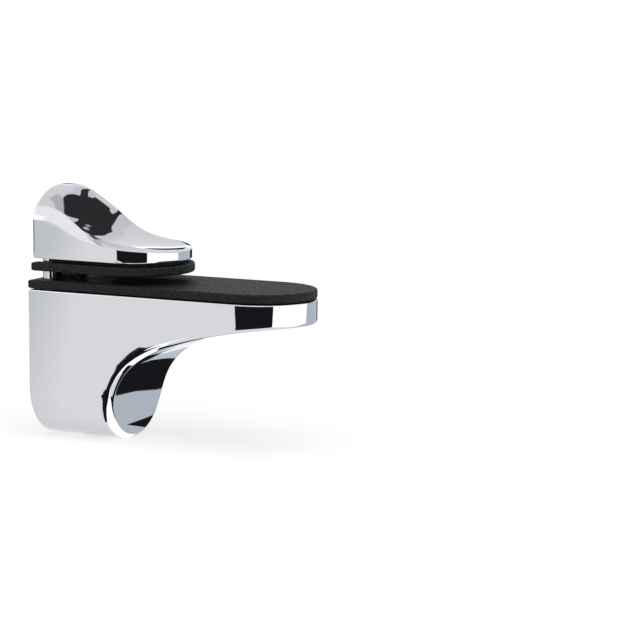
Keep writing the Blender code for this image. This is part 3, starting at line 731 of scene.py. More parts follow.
def jaw_profile(reach):
    """The half section, as distances inward and rises: up the side wall, over bevel and ridge
    and down into the scoop, with both creases softened."""
    side, ridge, crown = jaw_levels(reach)
    wall = [(0.0, side * t) for t in np.linspace(0, 1, WALL_POINTS)]
    bevel = [
        (RIDGE_INSET * t, side + (ridge - side) * t**BEVEL_POWER)
        for t in np.linspace(0, 1, BEVEL_POINTS)[1:]
    ]
    scoop = [
        (HALF - (HALF - RIDGE_INSET) * t, crown + (ridge - crown) * t**ARCH_POWER)
        for t in np.linspace(1, 0, SCOOP_POINTS)[1:]
    ]
    points = np.array(wall + bevel + scoop)
    steps = np.linalg.norm(np.diff(points, axis=0), axis=1)
    length = np.concatenate([[0], np.cumsum(steps)])
    first = length[WALL_POINTS - 1]
    second = length[WALL_POINTS + BEVEL_POINTS - 2]
    end = length[-1]
    soft = RIDGE_SOFTNESS
    limits = (0, first - soft, first + soft, second - soft, second + soft, end)
    at = np.concatenate([
        *[np.linspace(*span)[:-1] for span in zip(limits, limits[1:], SECTION_POINTS)], [end]
    ])
    window = np.linspace(-soft, soft, SOFTENING_POINTS) / 2
    spots = at[:, None] + window[None, :]
    inward = np.interp(spots, length, points[:, 0])
    rise = np.interp(spots, length, points[:, 1])
    rise = np.where(spots < 0, spots, rise)
    mirrored = 2 * HALF - np.interp(2 * end - spots, length, points[:, 0])
    inward = np.where(spots > end, mirrored, inward)
    return inward.mean(axis=1), rise.mean(axis=1)


def make_jaw_form():
    """Rings follow the plan outline, each further up its side and over its top than the last."""
    stations = []
    for i in range(BACK_STATIONS):
        angle = math.pi / 2 * i / BACK_STATIONS
        stations.append((JAW_BACK + JAW_BACK_ROUND * (1 - math.cos(angle)),
                         JAW_BACK_ROUND * (1 - math.sin(angle)), None))
    straight = JAW_BACK + JAW_BACK_ROUND
    for i in range(SIDE_STATIONS):
        reach = straight + (JAW_SHOULDER - straight) * i / SIDE_STATIONS
        stations.append((reach, 0.0, None))
    for i in range(TIP_STATIONS + 1):
        stations.append((None, 0.0, math.pi / 2 * i / TIP_STATIONS))
    bm = bmesh.new()
    columns = []
    for reach, drawn_in, angle in stations:
        if angle is None:
            inward, rise = jaw_profile(reach)
        else:
            inward, _ = jaw_profile(JAW_SHOULDER + JAW_TIP_LENGTH * math.sin(angle))
            spots = JAW_SHOULDER + JAW_TIP_LENGTH * (1 - inward / HALF) * math.sin(angle)
            rise = [jaw_profile(spot)[1][k] for k, spot in enumerate(spots)]
        column = []
        for k, from_side in enumerate(inward):
            scale = 1 - from_side / HALF
            if abs(scale) < MIDDLE_SHARE:
                scale = 0.0
            z = JAW_RIM + rise[k] * (1 - drawn_in / CROWN_RISE)
            if angle is None:
                column.append(add_pair(bm, (HALF - drawn_in) * scale, reach, z))
            else:
                column.append(add_pair(bm, HALF * scale * math.cos(angle),
                                       JAW_SHOULDER + JAW_TIP_LENGTH * scale * math.sin(angle), z))
        columns.append(column)
    for first, second in zip(columns, columns[1:]):
        for k in range(len(first) - 1):
            for s in (0, 1):
                add_face(bm, [first[k][s], second[k][s], second[k + 1][s], first[k + 1][s]])
    close_loop(bm, [column[0] for column in columns])
    close_loop(bm, columns[0])
    bmesh.ops.remove_doubles(bm, verts=bm.verts, dist=MERGE_DISTANCE)
    bmesh.ops.recalc_face_normals(bm, faces=bm.faces)
    limits = [e for e in bm.edges if on_limit(e, JAW_RIM, 2)]
    bmesh.ops.bevel(
        bm, geom=limits, offset=JAW_RIM_ROUND, segments=3, profile=0.5, affect="EDGES"
    )
    return new_object("jaw_casting", bm, polished_chrome, JAW_SHARP_DEGREES)


def tip_outline(half, back, shoulder, tip_length, steps=96):
    """Plan outline as (x, reach): straight sides and a half ellipse round the tip."""
    angles = [math.pi * i / steps for i in range(steps + 1)]
    tip = [(half * math.cos(a), shoulder + tip_length * math.sin(a)) for a in angles]
    return [(half, back), *tip, (-half, back)]


jaw = make_jaw_form()
stem_low = RIM_HEIGHT - STEM_DROP
joint_height = JAW_RIM + JAW_RECESS + WALL
post_low = RIM_HEIGHT - POST_DROP
plate_corner = STEM_HALF - STEM_CHAMFER
stem_profile = [
    (-STEM_HALF, joint_height),
    (-STEM_HALF, stem_low + STEM_CHAMFER),
    (-plate_corner, stem_low),
    (plate_corner, stem_low),
    (STEM_HALF, stem_low + STEM_CHAMFER),
    (STEM_HALF, joint_height),
]
stem = [
    soften(prism("stem_plate", stem_profile, STEM_BACK, STEM_FRONT, "reach", polished_chrome),
           STEM_EDGE, 1),
    prism("stem_post", post_outline(0.0), post_low, joint_height, "z", polished_chrome),
]
combine(jaw, "UNION", stem)
pocket_half = HALF - WALL
pocket_sections = []
for i in range(POCKET_STEPS + 1):
    reach = STEM_FRONT + WALL + (JAW_CORE_REACH - STEM_FRONT - WALL) * i / POCKET_STEPS
    section = [
        place(x, reach, JAW_RIM + jaw_height(HALF - abs(x), reach) - JAW_ROOF)
        for x in (pocket_half * (1 - j / ARCH_STEPS) for j in range(2 * ARCH_STEPS + 1))
    ]
    section += [place(x, reach, JAW_RIM - WALL) for x in (-pocket_half, pocket_half)]
    pocket_sections.append(section)
pocket = loft("jaw_pocket", pocket_sections, cast_plating)
column = post_outline(POST_SHOULDER)
keepers = [
    prism(name, column, JAW_RIM - walls * WALL, JAW_RIM + CROWN_RISE, "z", cast_plating)
    for name, walls in (("post_in_pocket", 2), ("post_in_recess", 3))
]
combine(pocket, "DIFFERENCE", keepers[:1])
recess = prism(
    "jaw_recess",
    tip_outline(HALF - WALL, STEM_FRONT + SEAT_GAP, JAW_SHOULDER, JAW_TIP_LENGTH - WALL),
    JAW_RIM - WALL, JAW_RIM + JAW_RECESS, "z", cast_plating,
)
combine(recess, "DIFFERENCE", keepers[1:])
screw_hole = bore(
    "screw_hole", SCREW_RADIUS, post_low - WALL, RIM_HEIGHT + SCREW_HOLE_RISE, SCREW_REACH
)
combine(jaw, "DIFFERENCE", [pocket, recess, screw_hole])
settle(jaw, JAW_SHARP_DEGREES, [*stem, pocket, *keepers, recess, screw_hole])
even_normals(jaw)
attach(jaw, "jaw")
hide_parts("upper_jaw")

# Rubber pads
# Moulded black rubber with a fine spark-eroded grain and a rounded edge. Each has a plinth that
# presses into its casting, and an opening that the jaw's stem passes through.
PAD_EDGE = 0.5 * MM
PAD_EDGE_STEPS = 8
PAD_END_ROUND = 2.2
PAD_SHARP_DEGREES = 40.0
UPPER_PAD_BACK = 1.0 * MM
UPPER_PAD_OVERHANG = 1.0 * MM
RUBBER_GREY = 0.006
RUBBER_ROUGHNESS = 0.55
RUBBER_GRAIN = 1900.0
GRAIN_DEPTH = 0.14 * MM
GRAIN_TONES = ((0.35, (0.5, 0.5, 0.52)), (0.7, (2.2, 2.2, 2.3)))
POLISH_RANGE = (0.35, 0.65)
POLISH_LOSS = 0.25
POLISH_GAIN = 0.15

rubber, tree, shader = new_material("grained_rubber")
set_inputs(shader, Specular_IOR_Level=0.25, IOR=1.5)
where = tree.nodes.new("ShaderNodeTexCoord")
grain = add_node(tree, "ShaderNodeTexNoise", Scale=RUBBER_GRAIN, Detail=2.0, Roughness=0.6)
link(where, "Object", grain, "Vector")
tone = tree.nodes.new("ShaderNodeValToRGB")
for stop, (position, tint) in zip(tone.color_ramp.elements, GRAIN_TONES):
    stop.position = position
    stop.color = (*[RUBBER_GREY * part for part in tint], 1.0)
link(grain, "Fac", tone, "Fac")
link(tone, "Color", shader, "Base Color")
polish = add_node(
    tree, "ShaderNodeMapRange", From_Min=POLISH_RANGE[0], From_Max=POLISH_RANGE[1],
    To_Min=RUBBER_ROUGHNESS + POLISH_LOSS, To_Max=RUBBER_ROUGHNESS - POLISH_GAIN,
)
link(grain, "Fac", polish, "Value")
link(polish, "Result", shader, "Roughness")
add_bump(tree, grain, GRAIN_DEPTH, shader)


def pad_form(name, back, shoulder, tip_length, bottom):
    """A flat pad with a rounded edge all round."""
    angles = [math.pi / 2 * i / PAD_EDGE_STEPS for i in range(PAD_EDGE_STEPS + 1)]
    lower = [(PAD_EDGE * (1 - math.sin(a)), PAD_EDGE * (1 - math.cos(a))) for a in angles]
    upper = [(inward, PAD_THICKNESS - height) for inward, height in reversed(lower)]
    sections = []
    for inward, height in lower + upper:
        outline = tip_outline(
            HALF - inward, back + PAD_END_ROUND * inward, shoulder, tip_length - inward
        )
        sections.append([place(x, reach, bottom + height) for x, reach in outline])
    return loft(name, sections, rubber, PAD_SHARP_DEGREES)


def make_pad(name, form, plinth_back, plinth_tip, plinth_low, plinth_high, opening, body, node):
    """A pad with its plinth, its opening and its place on a body."""
    shoulder, tip_length, back, bottom = form
    pad = pad_form(name, back, shoulder, tip_length, bottom)
    fit = WALL + SEAT_GAP
    plinth = prism(
        name + "_plinth", tip_outline(HALF - fit, plinth_back, shoulder, plinth_tip - fit),
        plinth_low, plinth_high, "z", rubber,
    )
    window = prism(name + "_window", opening, bottom - 2 * WALL, bottom + 3 * WALL, "z", rubber)
    combine(pad, "UNION", [plinth])
    combine(pad, "DIFFERENCE", [window])
    settle(pad, PAD_SHARP_DEGREES, [plinth, window])
    even_normals(pad)
    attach(pad, body)
    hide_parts(node)


make_pad(
    "tongue_pad", (BODY_SHOULDER, BODY_TIP_LENGTH, 0.0, LOWER_PAD_BOTTOM),
    DECK_REACH + SEAT_GAP, BODY_TIP_LENGTH, RIM_HEIGHT - PLINTH_DEPTH,
    LOWER_PAD_BOTTOM + PAD_THICKNESS / 2,
    stem_outline(SEAT_GAP, STEM_BACK - SEAT_GAP, STEM_FRONT + SEAT_GAP), "base", "lower_pad",
)
make_pad(
    "jaw_pad",
    (JAW_SHOULDER, JAW_TIP_LENGTH + UPPER_PAD_OVERHANG, UPPER_PAD_BACK, UPPER_PAD_BOTTOM),
    STEM_FRONT + SEAT_GAP, JAW_TIP_LENGTH, UPPER_PAD_TOP - PAD_THICKNESS / 2,
    JAW_RIM + JAW_RECESS - SEAT_GAP,
    stem_outline(SEAT_GAP + POST_SHOULDER, -WALL, STEM_FRONT + SEAT_GAP), "jaw", "upper_pad",
)

# Clamp screw
# A zinc plated M5 socket head screw, head down in the toe and turned from below with a hex key.
# Its thread is rolled, its head is knurled round the side, and a groove takes the ring.
SCREW_PITCH = 0.8 * MM
SCREW_SHARP_DEGREES = 32.0
THREAD_COLUMNS = 64
ROWS_PER_PITCH = 8
THREAD_DEPTH_SHARE = 0.6
FLANK_RISE = 3.2
FLANK_START = 0.3
SEAM_WELD = 0.002 * MM
SHANK_SLACK = 0.04 * MM
SCREW_TOP = RIM_HEIGHT + SCREW_TOP_RISE
SEAT = SCREW_TOP - SCREW_LENGTH
HEAD_HEIGHT = 5.0 * MM
HEAD_CHAMFER = 0.5 * MM
HEAD_BREAK = 0.15 * MM
NECK_FILLET = 0.2 * MM
THREAD_RUN_OUT = 0.6 * MM
SHANK_CONE_DEPTH = 0.45 * MM
SHANK_CONE_HIGH = 0.4 * MM
SHANK_CONE_LOW = 0.1 * MM
HEAD_SOCKET = 4.0 * MM
HEAD_SOCKET_DEPTH = 2.5 * MM
GROOVE_RADIUS = 2.0 * MM
GROOVE_GAP = 0.2 * MM
RING_THICKNESS = 0.8 * MM
KNURLS = 54
KNURL_DEPTH = 0.16 * MM
KNURL_END = 0.5 * MM
KNURL_MARGIN = 0.1 * MM
KNURL_ROWS = 5
POINTS_PER_KNURL = 4
SOCKET_TIP = 0.1
SOCKET_CONE = 0.45
SOCKET_MOUTH = ((0.4 * MM, -0.2 * MM), (-0.3 * MM, 0.5 * MM))


def calculate(tree, operation, *values):
    """A Math node on numbers or sockets. Gives its output."""
    node = tree.nodes.new("ShaderNodeMath")
    node.operation = operation
    for socket, value in zip(node.inputs, values):
        if isinstance(value, (int, float)):
            socket.default_value = value
        else:
            tree.links.new(value, socket)
    return node.outputs[0]


def new_tree(name, sizes, takes_shape):
    """An empty node tree with a named input for each size, and its group nodes."""
    tree = bpy.data.node_groups.new(name, "GeometryNodeTree")
    face = tree.interface
    if takes_shape:
        face.new_socket("Shape", in_out="INPUT", socket_type="NodeSocketGeometry")
    for size in sizes:
        face.new_socket(size, in_out="INPUT", socket_type="NodeSocketFloat")
    face.new_socket("Finish", in_out="INPUT", socket_type="NodeSocketMaterial")
    face.new_socket("Shape", in_out="OUTPUT", socket_type="NodeSocketGeometry")
    return tree, tree.nodes.new("NodeGroupInput").outputs


def end_tree(tree, last, finish):
    """Give out the last node's geometry in this finish."""
    coat = tree.nodes.new("GeometryNodeSetMaterial")
    link(last, "Geometry", coat, "Geometry")
    tree.links.new(finish, coat.inputs["Material"])
    link(coat, "Geometry", tree.nodes.new("NodeGroupOutput"), "Shape")


def vertex_place(tree):
    """The x, y and z of each vertex."""
    where = tree.nodes.new("ShaderNodeSeparateXYZ")
    tree.links.new(tree.nodes.new("GeometryNodeInputPosition").outputs[0], where.inputs[0])
    return where.outputs


def point_at(tree, radius, angle, height):
    """The vector at this radius and angle round the z axis."""
    spot = tree.nodes.new("ShaderNodeCombineXYZ")
    across = calculate(tree, "MULTIPLY", radius, calculate(tree, "COSINE", angle))
    along = calculate(tree, "MULTIPLY", radius, calculate(tree, "SINE", angle))
    for value, socket in zip((across, along, height), spot.inputs):
        tree.links.new(value, socket)
    return spot.outputs[0]


def thread_tree():
    """A threaded rod. A flat grid is wound up with a lead of one pitch and welded at its seam."""
    tree, sizes = new_tree(
        "rolled_thread", ("Radius", "Depth", "Pitch", "Low", "High", "Rows"), False
    )
    step = functools.partial(calculate, tree)
    low, high, pitch = sizes["Low"], sizes["High"], sizes["Pitch"]
    grid = add_node(tree, "GeometryNodeMeshGrid", Size_X=1.0, Size_Y=1.0,
                    Vertices_X=THREAD_COLUMNS + 1)
    tree.links.new(sizes["Rows"], grid.inputs["Vertices Y"])
    where = vertex_place(tree)
    round_share = step("ADD", where["X"], 0.5)
    up_share = step("ADD", where["Y"], 0.5)
    pitches = step("DIVIDE", step("SUBTRACT", sizes["Rows"], 1.0), float(ROWS_PER_PITCH))
    turn = step("MULTIPLY", up_share, pitches)
    lead = step("ADD", step("SUBTRACT", turn, 1.0), round_share)
    free = step("ADD", step("MULTIPLY", lead, pitch), low)
    height = step("MINIMUM", step("MAXIMUM", free, low), high)
    phase = step("FRACT", step("ADD", turn, 0.5 / ROWS_PER_PITCH))
    off_root = step("ABSOLUTE", step("SUBTRACT", phase, 0.5))
    flank = step("MULTIPLY_ADD", off_root, FLANK_RISE, -FLANK_START)
    crest = step("MINIMUM", step("MAXIMUM", flank, 0.0), 1.0)
    from_low = step("DIVIDE", step("SUBTRACT", height, low), pitch)
    from_high = step("DIVIDE", step("SUBTRACT", high, height), pitch)
    run_out = step("MINIMUM", step("MINIMUM", from_low, from_high), 1.0)
    lifted = step("MULTIPLY", step("MULTIPLY", crest, run_out), sizes["Depth"])
    core = step("SUBTRACT", sizes["Radius"], sizes["Depth"])
    angle = step("MULTIPLY", round_share, math.tau)
    wound = tree.nodes.new("GeometryNodeSetPosition")
    link(grid, "Mesh", wound, "Geometry")
    target = point_at(tree, step("ADD", core, lifted), angle, height)
    tree.links.new(target, wound.inputs["Position"])
    whole = tree.nodes.new("GeometryNodeJoinGeometry")
    for level in (low, high):
        disc = add_node(tree, "GeometryNodeMeshCircle", Vertices=THREAD_COLUMNS)
        disc.fill_type = "NGON"
        tree.links.new(core, disc.inputs["Radius"])
        lift = tree.nodes.new("ShaderNodeCombineXYZ")
        tree.links.new(level, lift.inputs["Z"])
        end = tree.nodes.new("GeometryNodeSetPosition")
        link(disc, "Mesh", end, "Geometry")
        link(lift, "Vector", end, "Offset")
        link(end, "Geometry", whole, "Geometry")
    link(wound, "Geometry", whole, "Geometry")
    weld = add_node(tree, "GeometryNodeMergeByDistance", Distance=SEAM_WELD)
    link(whole, "Geometry", weld, "Geometry")
    end_tree(tree, weld, sizes["Finish"])
    return tree


def knurl_tree():
    """Press straight ridges into the side of a turned head, between two heights."""
    tree, sizes = new_tree("straight_knurl", ("Radius", "Depth", "Ridges", "Low", "High"), True)
    step = functools.partial(calculate, tree)
    x, y, height = vertex_place(tree)
    angle = step("ARCTAN2", y, x)
    radius = step("SQRT", step("ADD", step("MULTIPLY", x, x), step("MULTIPLY", y, y)))
    wave = step("COSINE", step("MULTIPLY", angle, sizes["Ridges"]))
    dip = step("MULTIPLY", step("MULTIPLY_ADD", wave, -0.5, 0.5), sizes["Depth"])
    pressed = point_at(tree, step("SUBTRACT", radius, dip), angle, height)
    over = step("GREATER_THAN", height, sizes["Low"])
    under = step("LESS_THAN", height, sizes["High"])
    outside = step("GREATER_THAN", radius, step("SUBTRACT", sizes["Radius"], sizes["Depth"]))
    on_side = step("MULTIPLY", step("MULTIPLY", over, under), outside)
    press = tree.nodes.new("GeometryNodeSetPosition")
    tree.links.new(sizes["Shape"], press.inputs["Geometry"])
    tree.links.new(on_side, press.inputs["Selection"])
    tree.links.new(pressed, press.inputs["Position"])
    end_tree(tree, press, sizes["Finish"])
    return tree


def run_tree(obj, tree, **sizes):
    """Give the object a Geometry Nodes modifier with these inputs, and make its result plain."""
    modifier = obj.modifiers.new(tree.name, "NODES")
    modifier.node_group = tree
    for socket in tree.interface.items_tree:
        if socket.in_out == "INPUT" and socket.name in sizes:
            modifier[socket.identifier] = sizes[socket.name]
    settle(obj)
    solid = bmesh.new()
    solid.from_mesh(obj.data)
    bmesh.ops.recalc_face_normals(solid, faces=solid.faces)
    solid.to_mesh(obj.data)
    solid.free()
    return obj


def threaded_rod(name, radius, pitch, low, high):
    """A threaded length on the z axis, between two heights."""
    rod = new_object(name, bmesh.new(), zinc_plating)
    rows = (math.ceil((high - low) / pitch) + 1) * ROWS_PER_PITCH + 1
    return run_tree(
        rod, rolled_thread, Radius=radius, Depth=THREAD_DEPTH_SHARE * pitch, Pitch=pitch, Low=low,
        High=high, Rows=float(rows), Finish=zinc_plating,
    )


def hex_socket(name, across_flats, mouth, depth):
    """The tool that cuts a hexagon socket with a countersunk mouth and a drilled cone bottom."""
    corner = across_flats / math.sqrt(3)
    key = [
        [place(x, reach, z) for x, reach in circle(radius, sides=6)]
        for radius, z in (
            (corner, mouth - WALL), (corner, mouth + depth),
            (SOCKET_TIP * corner, mouth + depth + SOCKET_CONE * corner),
        )
    ]
    cone = [(corner + outward, mouth + up) for outward, up in SOCKET_MOUTH]
    mouth_cone = turned(name + "_mouth", cone, 0.0, zinc_plating)
    return [loft(name, key, zinc_plating), mouth_cone]


def put_on_axis(obj, reach):
    """Move a screw's mesh from the z axis to its place in front of the wall."""
    obj.data.transform(Matrix.Translation((0.0, -reach, 0.0)))
    return obj


rolled_thread = thread_tree()
straight_knurl = knurl_tree()

head_low = SEAT - HEAD_HEIGHT
groove_low = SHELF_TOP + SEAT_GAP - GROOVE_GAP
groove_high = SHELF_TOP + SEAT_GAP + RING_THICKNESS + GROOVE_GAP
thread_low = groove_high + THREAD_RUN_OUT
shank = SCREW_RADIUS - SHANK_SLACK
knurl_low = head_low + HEAD_CHAMFER
knurl_high = SEAT - KNURL_END
knurl_rows = np.linspace(knurl_low + KNURL_MARGIN, knurl_high - KNURL_MARGIN, KNURL_ROWS)
clamp_screw = turned(
    "clamp_screw_turned",
    [
        (HEAD_RADIUS - HEAD_CHAMFER, head_low),
        (HEAD_RADIUS - HEAD_BREAK, head_low + 0.22 * MM),
        (HEAD_RADIUS, knurl_low),
        *[(HEAD_RADIUS, z) for z in knurl_rows],
        (HEAD_RADIUS, knurl_high),
        (HEAD_RADIUS, SEAT - HEAD_BREAK),
        (HEAD_RADIUS - HEAD_BREAK, SEAT),
        (shank + NECK_FILLET, SEAT),
        (shank, SEAT + NECK_FILLET),
        (shank, groove_low),
        (GROOVE_RADIUS, groove_low),
        (GROOVE_RADIUS, groove_high),
        (shank, groove_high),
        (shank, thread_low - SHANK_CONE_LOW),
        (shank - SHANK_CONE_DEPTH, thread_low + SHANK_CONE_HIGH),
    ],
    0.0, zinc_plating, KNURLS * POINTS_PER_KNURL,
)
run_tree(
    clamp_screw, straight_knurl, Radius=HEAD_RADIUS, Depth=KNURL_DEPTH, Ridges=float(KNURLS),
    Low=knurl_low + KNURL_MARGIN / 2, High=knurl_high - KNURL_MARGIN / 2, Finish=zinc_plating,
)
thread = threaded_rod("clamp_thread", SCREW_RADIUS, SCREW_PITCH, thread_low, SCREW_TOP)
combine(clamp_screw, "UNION", [thread])
socket_tools = hex_socket("head_socket", HEAD_SOCKET, head_low, HEAD_SOCKET_DEPTH)
combine(clamp_screw, "DIFFERENCE", socket_tools)
settle(clamp_screw, SCREW_SHARP_DEGREES, [thread, *socket_tools])
even_normals(put_on_axis(clamp_screw, SCREW_REACH))
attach(clamp_screw, "screw")
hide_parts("clamp_screw")

# Retaining ring
# A stamped spring steel E-ring, zinc plated. Its three lugs snap into the screw's groove from the
# front and hold the screw in the body's shelf.
RING_RADIUS = 4.8 * MM
RING_MOUTH = 3.4 * MM
RING_LUG_RADIUS = GROOVE_RADIUS + 0.05 * MM
RING_RELIEF_RADIUS = 3.15 * MM
RING_LUG_HALF = math.radians(17.0)
RING_LUG_FLAT = 0.8
RING_LUG_FLANK = 0.5
RING_BREAK = 0.08 * MM
RING_OUTER_POINTS = 97
RING_INNER_POINTS = 145

half_mouth = math.asin(RING_MOUTH / 2 / RING_RADIUS)
ring_outline = [
    (RING_RADIUS, angle)
    for angle in np.linspace(half_mouth, math.tau - half_mouth, RING_OUTER_POINTS)
]
lug_mouth = math.asin(RING_MOUTH / 2 / RING_LUG_RADIUS)
front_lug = lug_mouth + RING_LUG_HALF / 2
lugs = (front_lug, math.pi, math.tau - front_lug)
ring_inside = []
for angle in np.linspace(lug_mouth, math.tau - lug_mouth, RING_INNER_POINTS):
    nearest = min(abs(angle - lug) for lug in lugs)
    share = min(max((nearest / RING_LUG_HALF - RING_LUG_FLAT) / RING_LUG_FLANK, 0.0), 1.0)
    ring_inside.append(
        (RING_LUG_RADIUS + (RING_RELIEF_RADIUS - RING_LUG_RADIUS) * share, angle)
    )
ring_outline += reversed(ring_inside)
ring_low = SHELF_TOP + SEAT_GAP
ring = prism(
    "retaining_ring_stamping",
    [(r * math.sin(a), SCREW_REACH + r * math.cos(a)) for r, a in ring_outline],
    ring_low, ring_low + RING_THICKNESS, "z", zinc_plating,
)
soften(ring, RING_BREAK, 2, SOFTENED_DEGREES)
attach(ring, "screw")
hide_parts("retaining_ring")

# Lock screw
# A zinc plated M4 grub screw in the toe. Turned from below, its flat end presses up on the wall
# plate's tab and draws the clip down on to the plate.
LOCK_PITCH = 0.7 * MM
LOCK_LENGTH = 6.0 * MM
LOCK_SOCKET = 2.0 * MM
LOCK_SOCKET_DEPTH = 2.0 * MM
LOCK_TOP = TAB_UNDER - SEAT_GAP
LOCK_POINT = 0.5 * MM
LOCK_POINT_RINGS = ((0.75 * MM, 1.5 * MM), (0.6 * MM, LOCK_POINT), (0.9 * MM, 0.0))

lock_low = LOCK_TOP - LOCK_LENGTH
lock_screw = threaded_rod("lock_screw_threaded", LOCK_RADIUS, LOCK_PITCH, lock_low,
                          LOCK_TOP - LOCK_POINT)
point = turned(
    "lock_point",
    [(LOCK_RADIUS - inward, LOCK_TOP - down) for inward, down in LOCK_POINT_RINGS],
    0.0, zinc_plating,
)
lock_tools = hex_socket("lock_socket", LOCK_SOCKET, lock_low, LOCK_SOCKET_DEPTH)
combine(lock_screw, "UNION", [point])
combine(lock_screw, "DIFFERENCE", lock_tools)
settle(lock_screw, SCREW_SHARP_DEGREES, [point, *lock_tools])
even_normals(put_on_axis(lock_screw, LOCK_REACH))
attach(lock_screw, "base")
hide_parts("lock_screw")

# Studio
# A white table runs past the clip on all sides. White, grey-blue and black cards lie on it and
# stand round it, out of the camera's sight, and the chrome shows them as its bands.
FLOOR_RADIUS = 60.0
CARD_LIFT = 0.1 * MM
CARD_RADIUS = 0.9
CARD_COLUMNS = 30
CARD_ROWS = 16
SCOOP_CENTRE = (0.0, -13.0, 37.0)
CLIP_CENTRE = (0.0, -35.0, 10.0)
BLACK = (0.012, 0.012, 0.015)
DARK = (0.033, 0.033, 0.034)
GREY_BLUE = (0.60, 0.66, 0.71)
SKY = (0.90, 0.90, 0.92)
SHADE = (0.78, 0.79, 0.82)
HALO = (0.76, 0.76, 0.80)
HIGH_GREY = (0.62, 0.62, 0.66)
LIGHT = (1.17, 1.17, 1.17)
FRONT_LIGHT = (1.35, 1.35, 1.35)
LOW_LIGHT = (1.4, 1.4, 1.4)
WHITE = (1.6, 1.6, 1.6)
PAPER_GREY = 0.35
PAPER_GLOW = 0.70
DIFFUSE_SKY = 0.40
SUN_STRENGTH = 1.8
SUN_SPREAD = math.radians(60.0)
SUN_TURN = (math.radians(12.0), math.radians(-18.0), 0.0)


def glow(name, colour):
    """Light of this colour where the card covers, and nothing where its soft rim runs out."""
    material, tree, _ = new_material(name)
    tree.nodes.clear()
    cover = tree.nodes.new("ShaderNodeAttribute")
    cover.attribute_name = "cover"
    light = add_node(tree, "ShaderNodeEmission", Color=(*colour, 1.0), Strength=1.0)
    clear = tree.nodes.new("ShaderNodeBsdfTransparent")
    mix = tree.nodes.new("ShaderNodeMixShader")
    link(cover, "Fac", mix, "Fac")
    link(clear, "BSDF", mix, 1)
    link(light, "Emission", mix, 2)
    link(mix, "Shader", tree.nodes.new("ShaderNodeOutputMaterial"), "Surface")
    return material


def stage_object(name, bm, material):
    """An object of the studio, which is no part of the clip."""
    obj = mesh_object(name, bm, material)
    return obj


def add_card(name, bm, colour):
    """Only reflections show a card. It covers fully, except along its outermost edge."""
    cover = bm.verts.layers.float.new("cover")
    for vert in bm.verts:
        vert[cover] = 0.0 if vert.is_boundary else 1.0
    card = stage_object(name, bm, glow(name, colour))
    card.visible_camera = False
    card.visible_diffuse = False
    card.visible_shadow = False
    card.visible_transmission = False


def flat_card(name, corners, colour, rim):
    """A card with these corners in metres, whose cover fades out over its rim."""
    bm = bmesh.new()
    face = bm.faces.new([bm.verts.new(corner) for corner in corners])
    face.normal_update()
    bmesh.ops.inset_region(bm, faces=[face], thickness=rim, use_boundary=True,
                           use_even_offset=True)
    add_card(name, bm, colour)


def table_card(name, corners, colour, layer, rim=1.0):
    """A card that lies on the table. Corners (x, y) and the rim are in millimetres."""
    height = CAD_BOX[0].z + CARD_LIFT * layer
    flat_card(name, [(x * MM, y * MM, height) for x, y in corners], colour, rim * MM)


def seen_at(centre, turn, rise, radius):
    """The point that lies in this direction from the centre, with both angles in degrees."""
    a, e = math.radians(turn), math.radians(rise)
    return Vector(centre) * MM + radius * Vector(
        (math.cos(a) * math.cos(e), math.sin(a) * math.cos(e), math.sin(e))
    )


def sky_card(name, corners, colour, radius, rim):
    """A card in the air. Its corners (turn, rise) are seen from the scoop; rim in degrees."""
    points = [seen_at(SCOOP_CENTRE, turn, rise, radius) for turn, rise in corners]
    flat_card(name, points, colour, math.radians(rim) * radius)


def round_card(name, turns, rises, colour, radius, rim=(1.0, 1.0)):
    """A curved card round the clip, between two turns and two heights in degrees."""
    def levels(low, high, edge, count):
        return [low, *np.linspace(low + edge, high - edge, count), high]

    bm = bmesh.new()
    grid = [
        [bm.verts.new(seen_at(CLIP_CENTRE, turn, rise, radius))
         for turn in levels(*turns, rim[0], CARD_COLUMNS)]
        for rise in levels(*rises, rim[1], CARD_ROWS)
    ]
    for low, high in zip(grid, grid[1:]):
        for i in range(len(low) - 1):
            bm.faces.new([low[i], low[i + 1], high[i + 1], high[i]])
    add_card(name, bm, colour)


floor_bm = bmesh.new()
bmesh.ops.create_circle(floor_bm, cap_ends=True, segments=64, radius=FLOOR_RADIUS)
bmesh.ops.translate(floor_bm, verts=floor_bm.verts, vec=(0.0, 0.0, CAD_BOX[0].z))
paper, _, shader = new_material("white_paper")
set_inputs(
    shader, Base_Color=(PAPER_GREY, PAPER_GREY, PAPER_GREY, 1.0), Roughness=0.9,
    Specular_IOR_Level=0.0, Emission_Color=(1.0, 1.0, 1.0, 1.0), Emission_Strength=PAPER_GLOW,
)
table = stage_object("floor", floor_bm, paper)
table.visible_diffuse = False

# Cards on the table
table_card("far_black_card", [
    (-116, -16), (-225, 28), (-420, 170), (-880, 500), (-880, -900), (-620, -900), (-250, -350),
    (-131, -188), (-92, -140), (-112, -100), (-120, -60),
], BLACK, 2)
table_card("near_black_card", [
    (-12, -18.0), (-17, -16.2), (-24, -13.2), (-30, -10.4), (-36, -7.2), (-40, -4.8), (-46, -1.5),
    (-51, 0.8), (-56, 3.5), (-62, 7), (-70, 11.2), (-79, 16.5), (-86, 20), (-95, 24.3),
    (-104.5, 29.3), (-114.4, 33.8), (-124, 38.8), (-136, 43.5), (-147, 47.8), (-160, 51.8),
    (-160, 45), (-147, 39), (-130, 26), (-90, 3), (-82, -1.5), (-76, -5), (-68, -10.5),
    (-60, -17.5), (-54, -21), (-46, -22.5), (-38, -23), (-29, -21.5), (-22.5, -19.4), (-12, -19.2),
], BLACK, 3, 0.2)
table_card("inner_black_card", [
    (-38, -28), (-28, -31.4), (-22.5, -32.9), (-16, -33.8), (-7, -33.4), (0, -35), (4, -40),
    (-10, -43), (-24, -42), (-27, -36), (-29.5, -33.5), (-34.5, -31),
], BLACK, 3, 0.3)
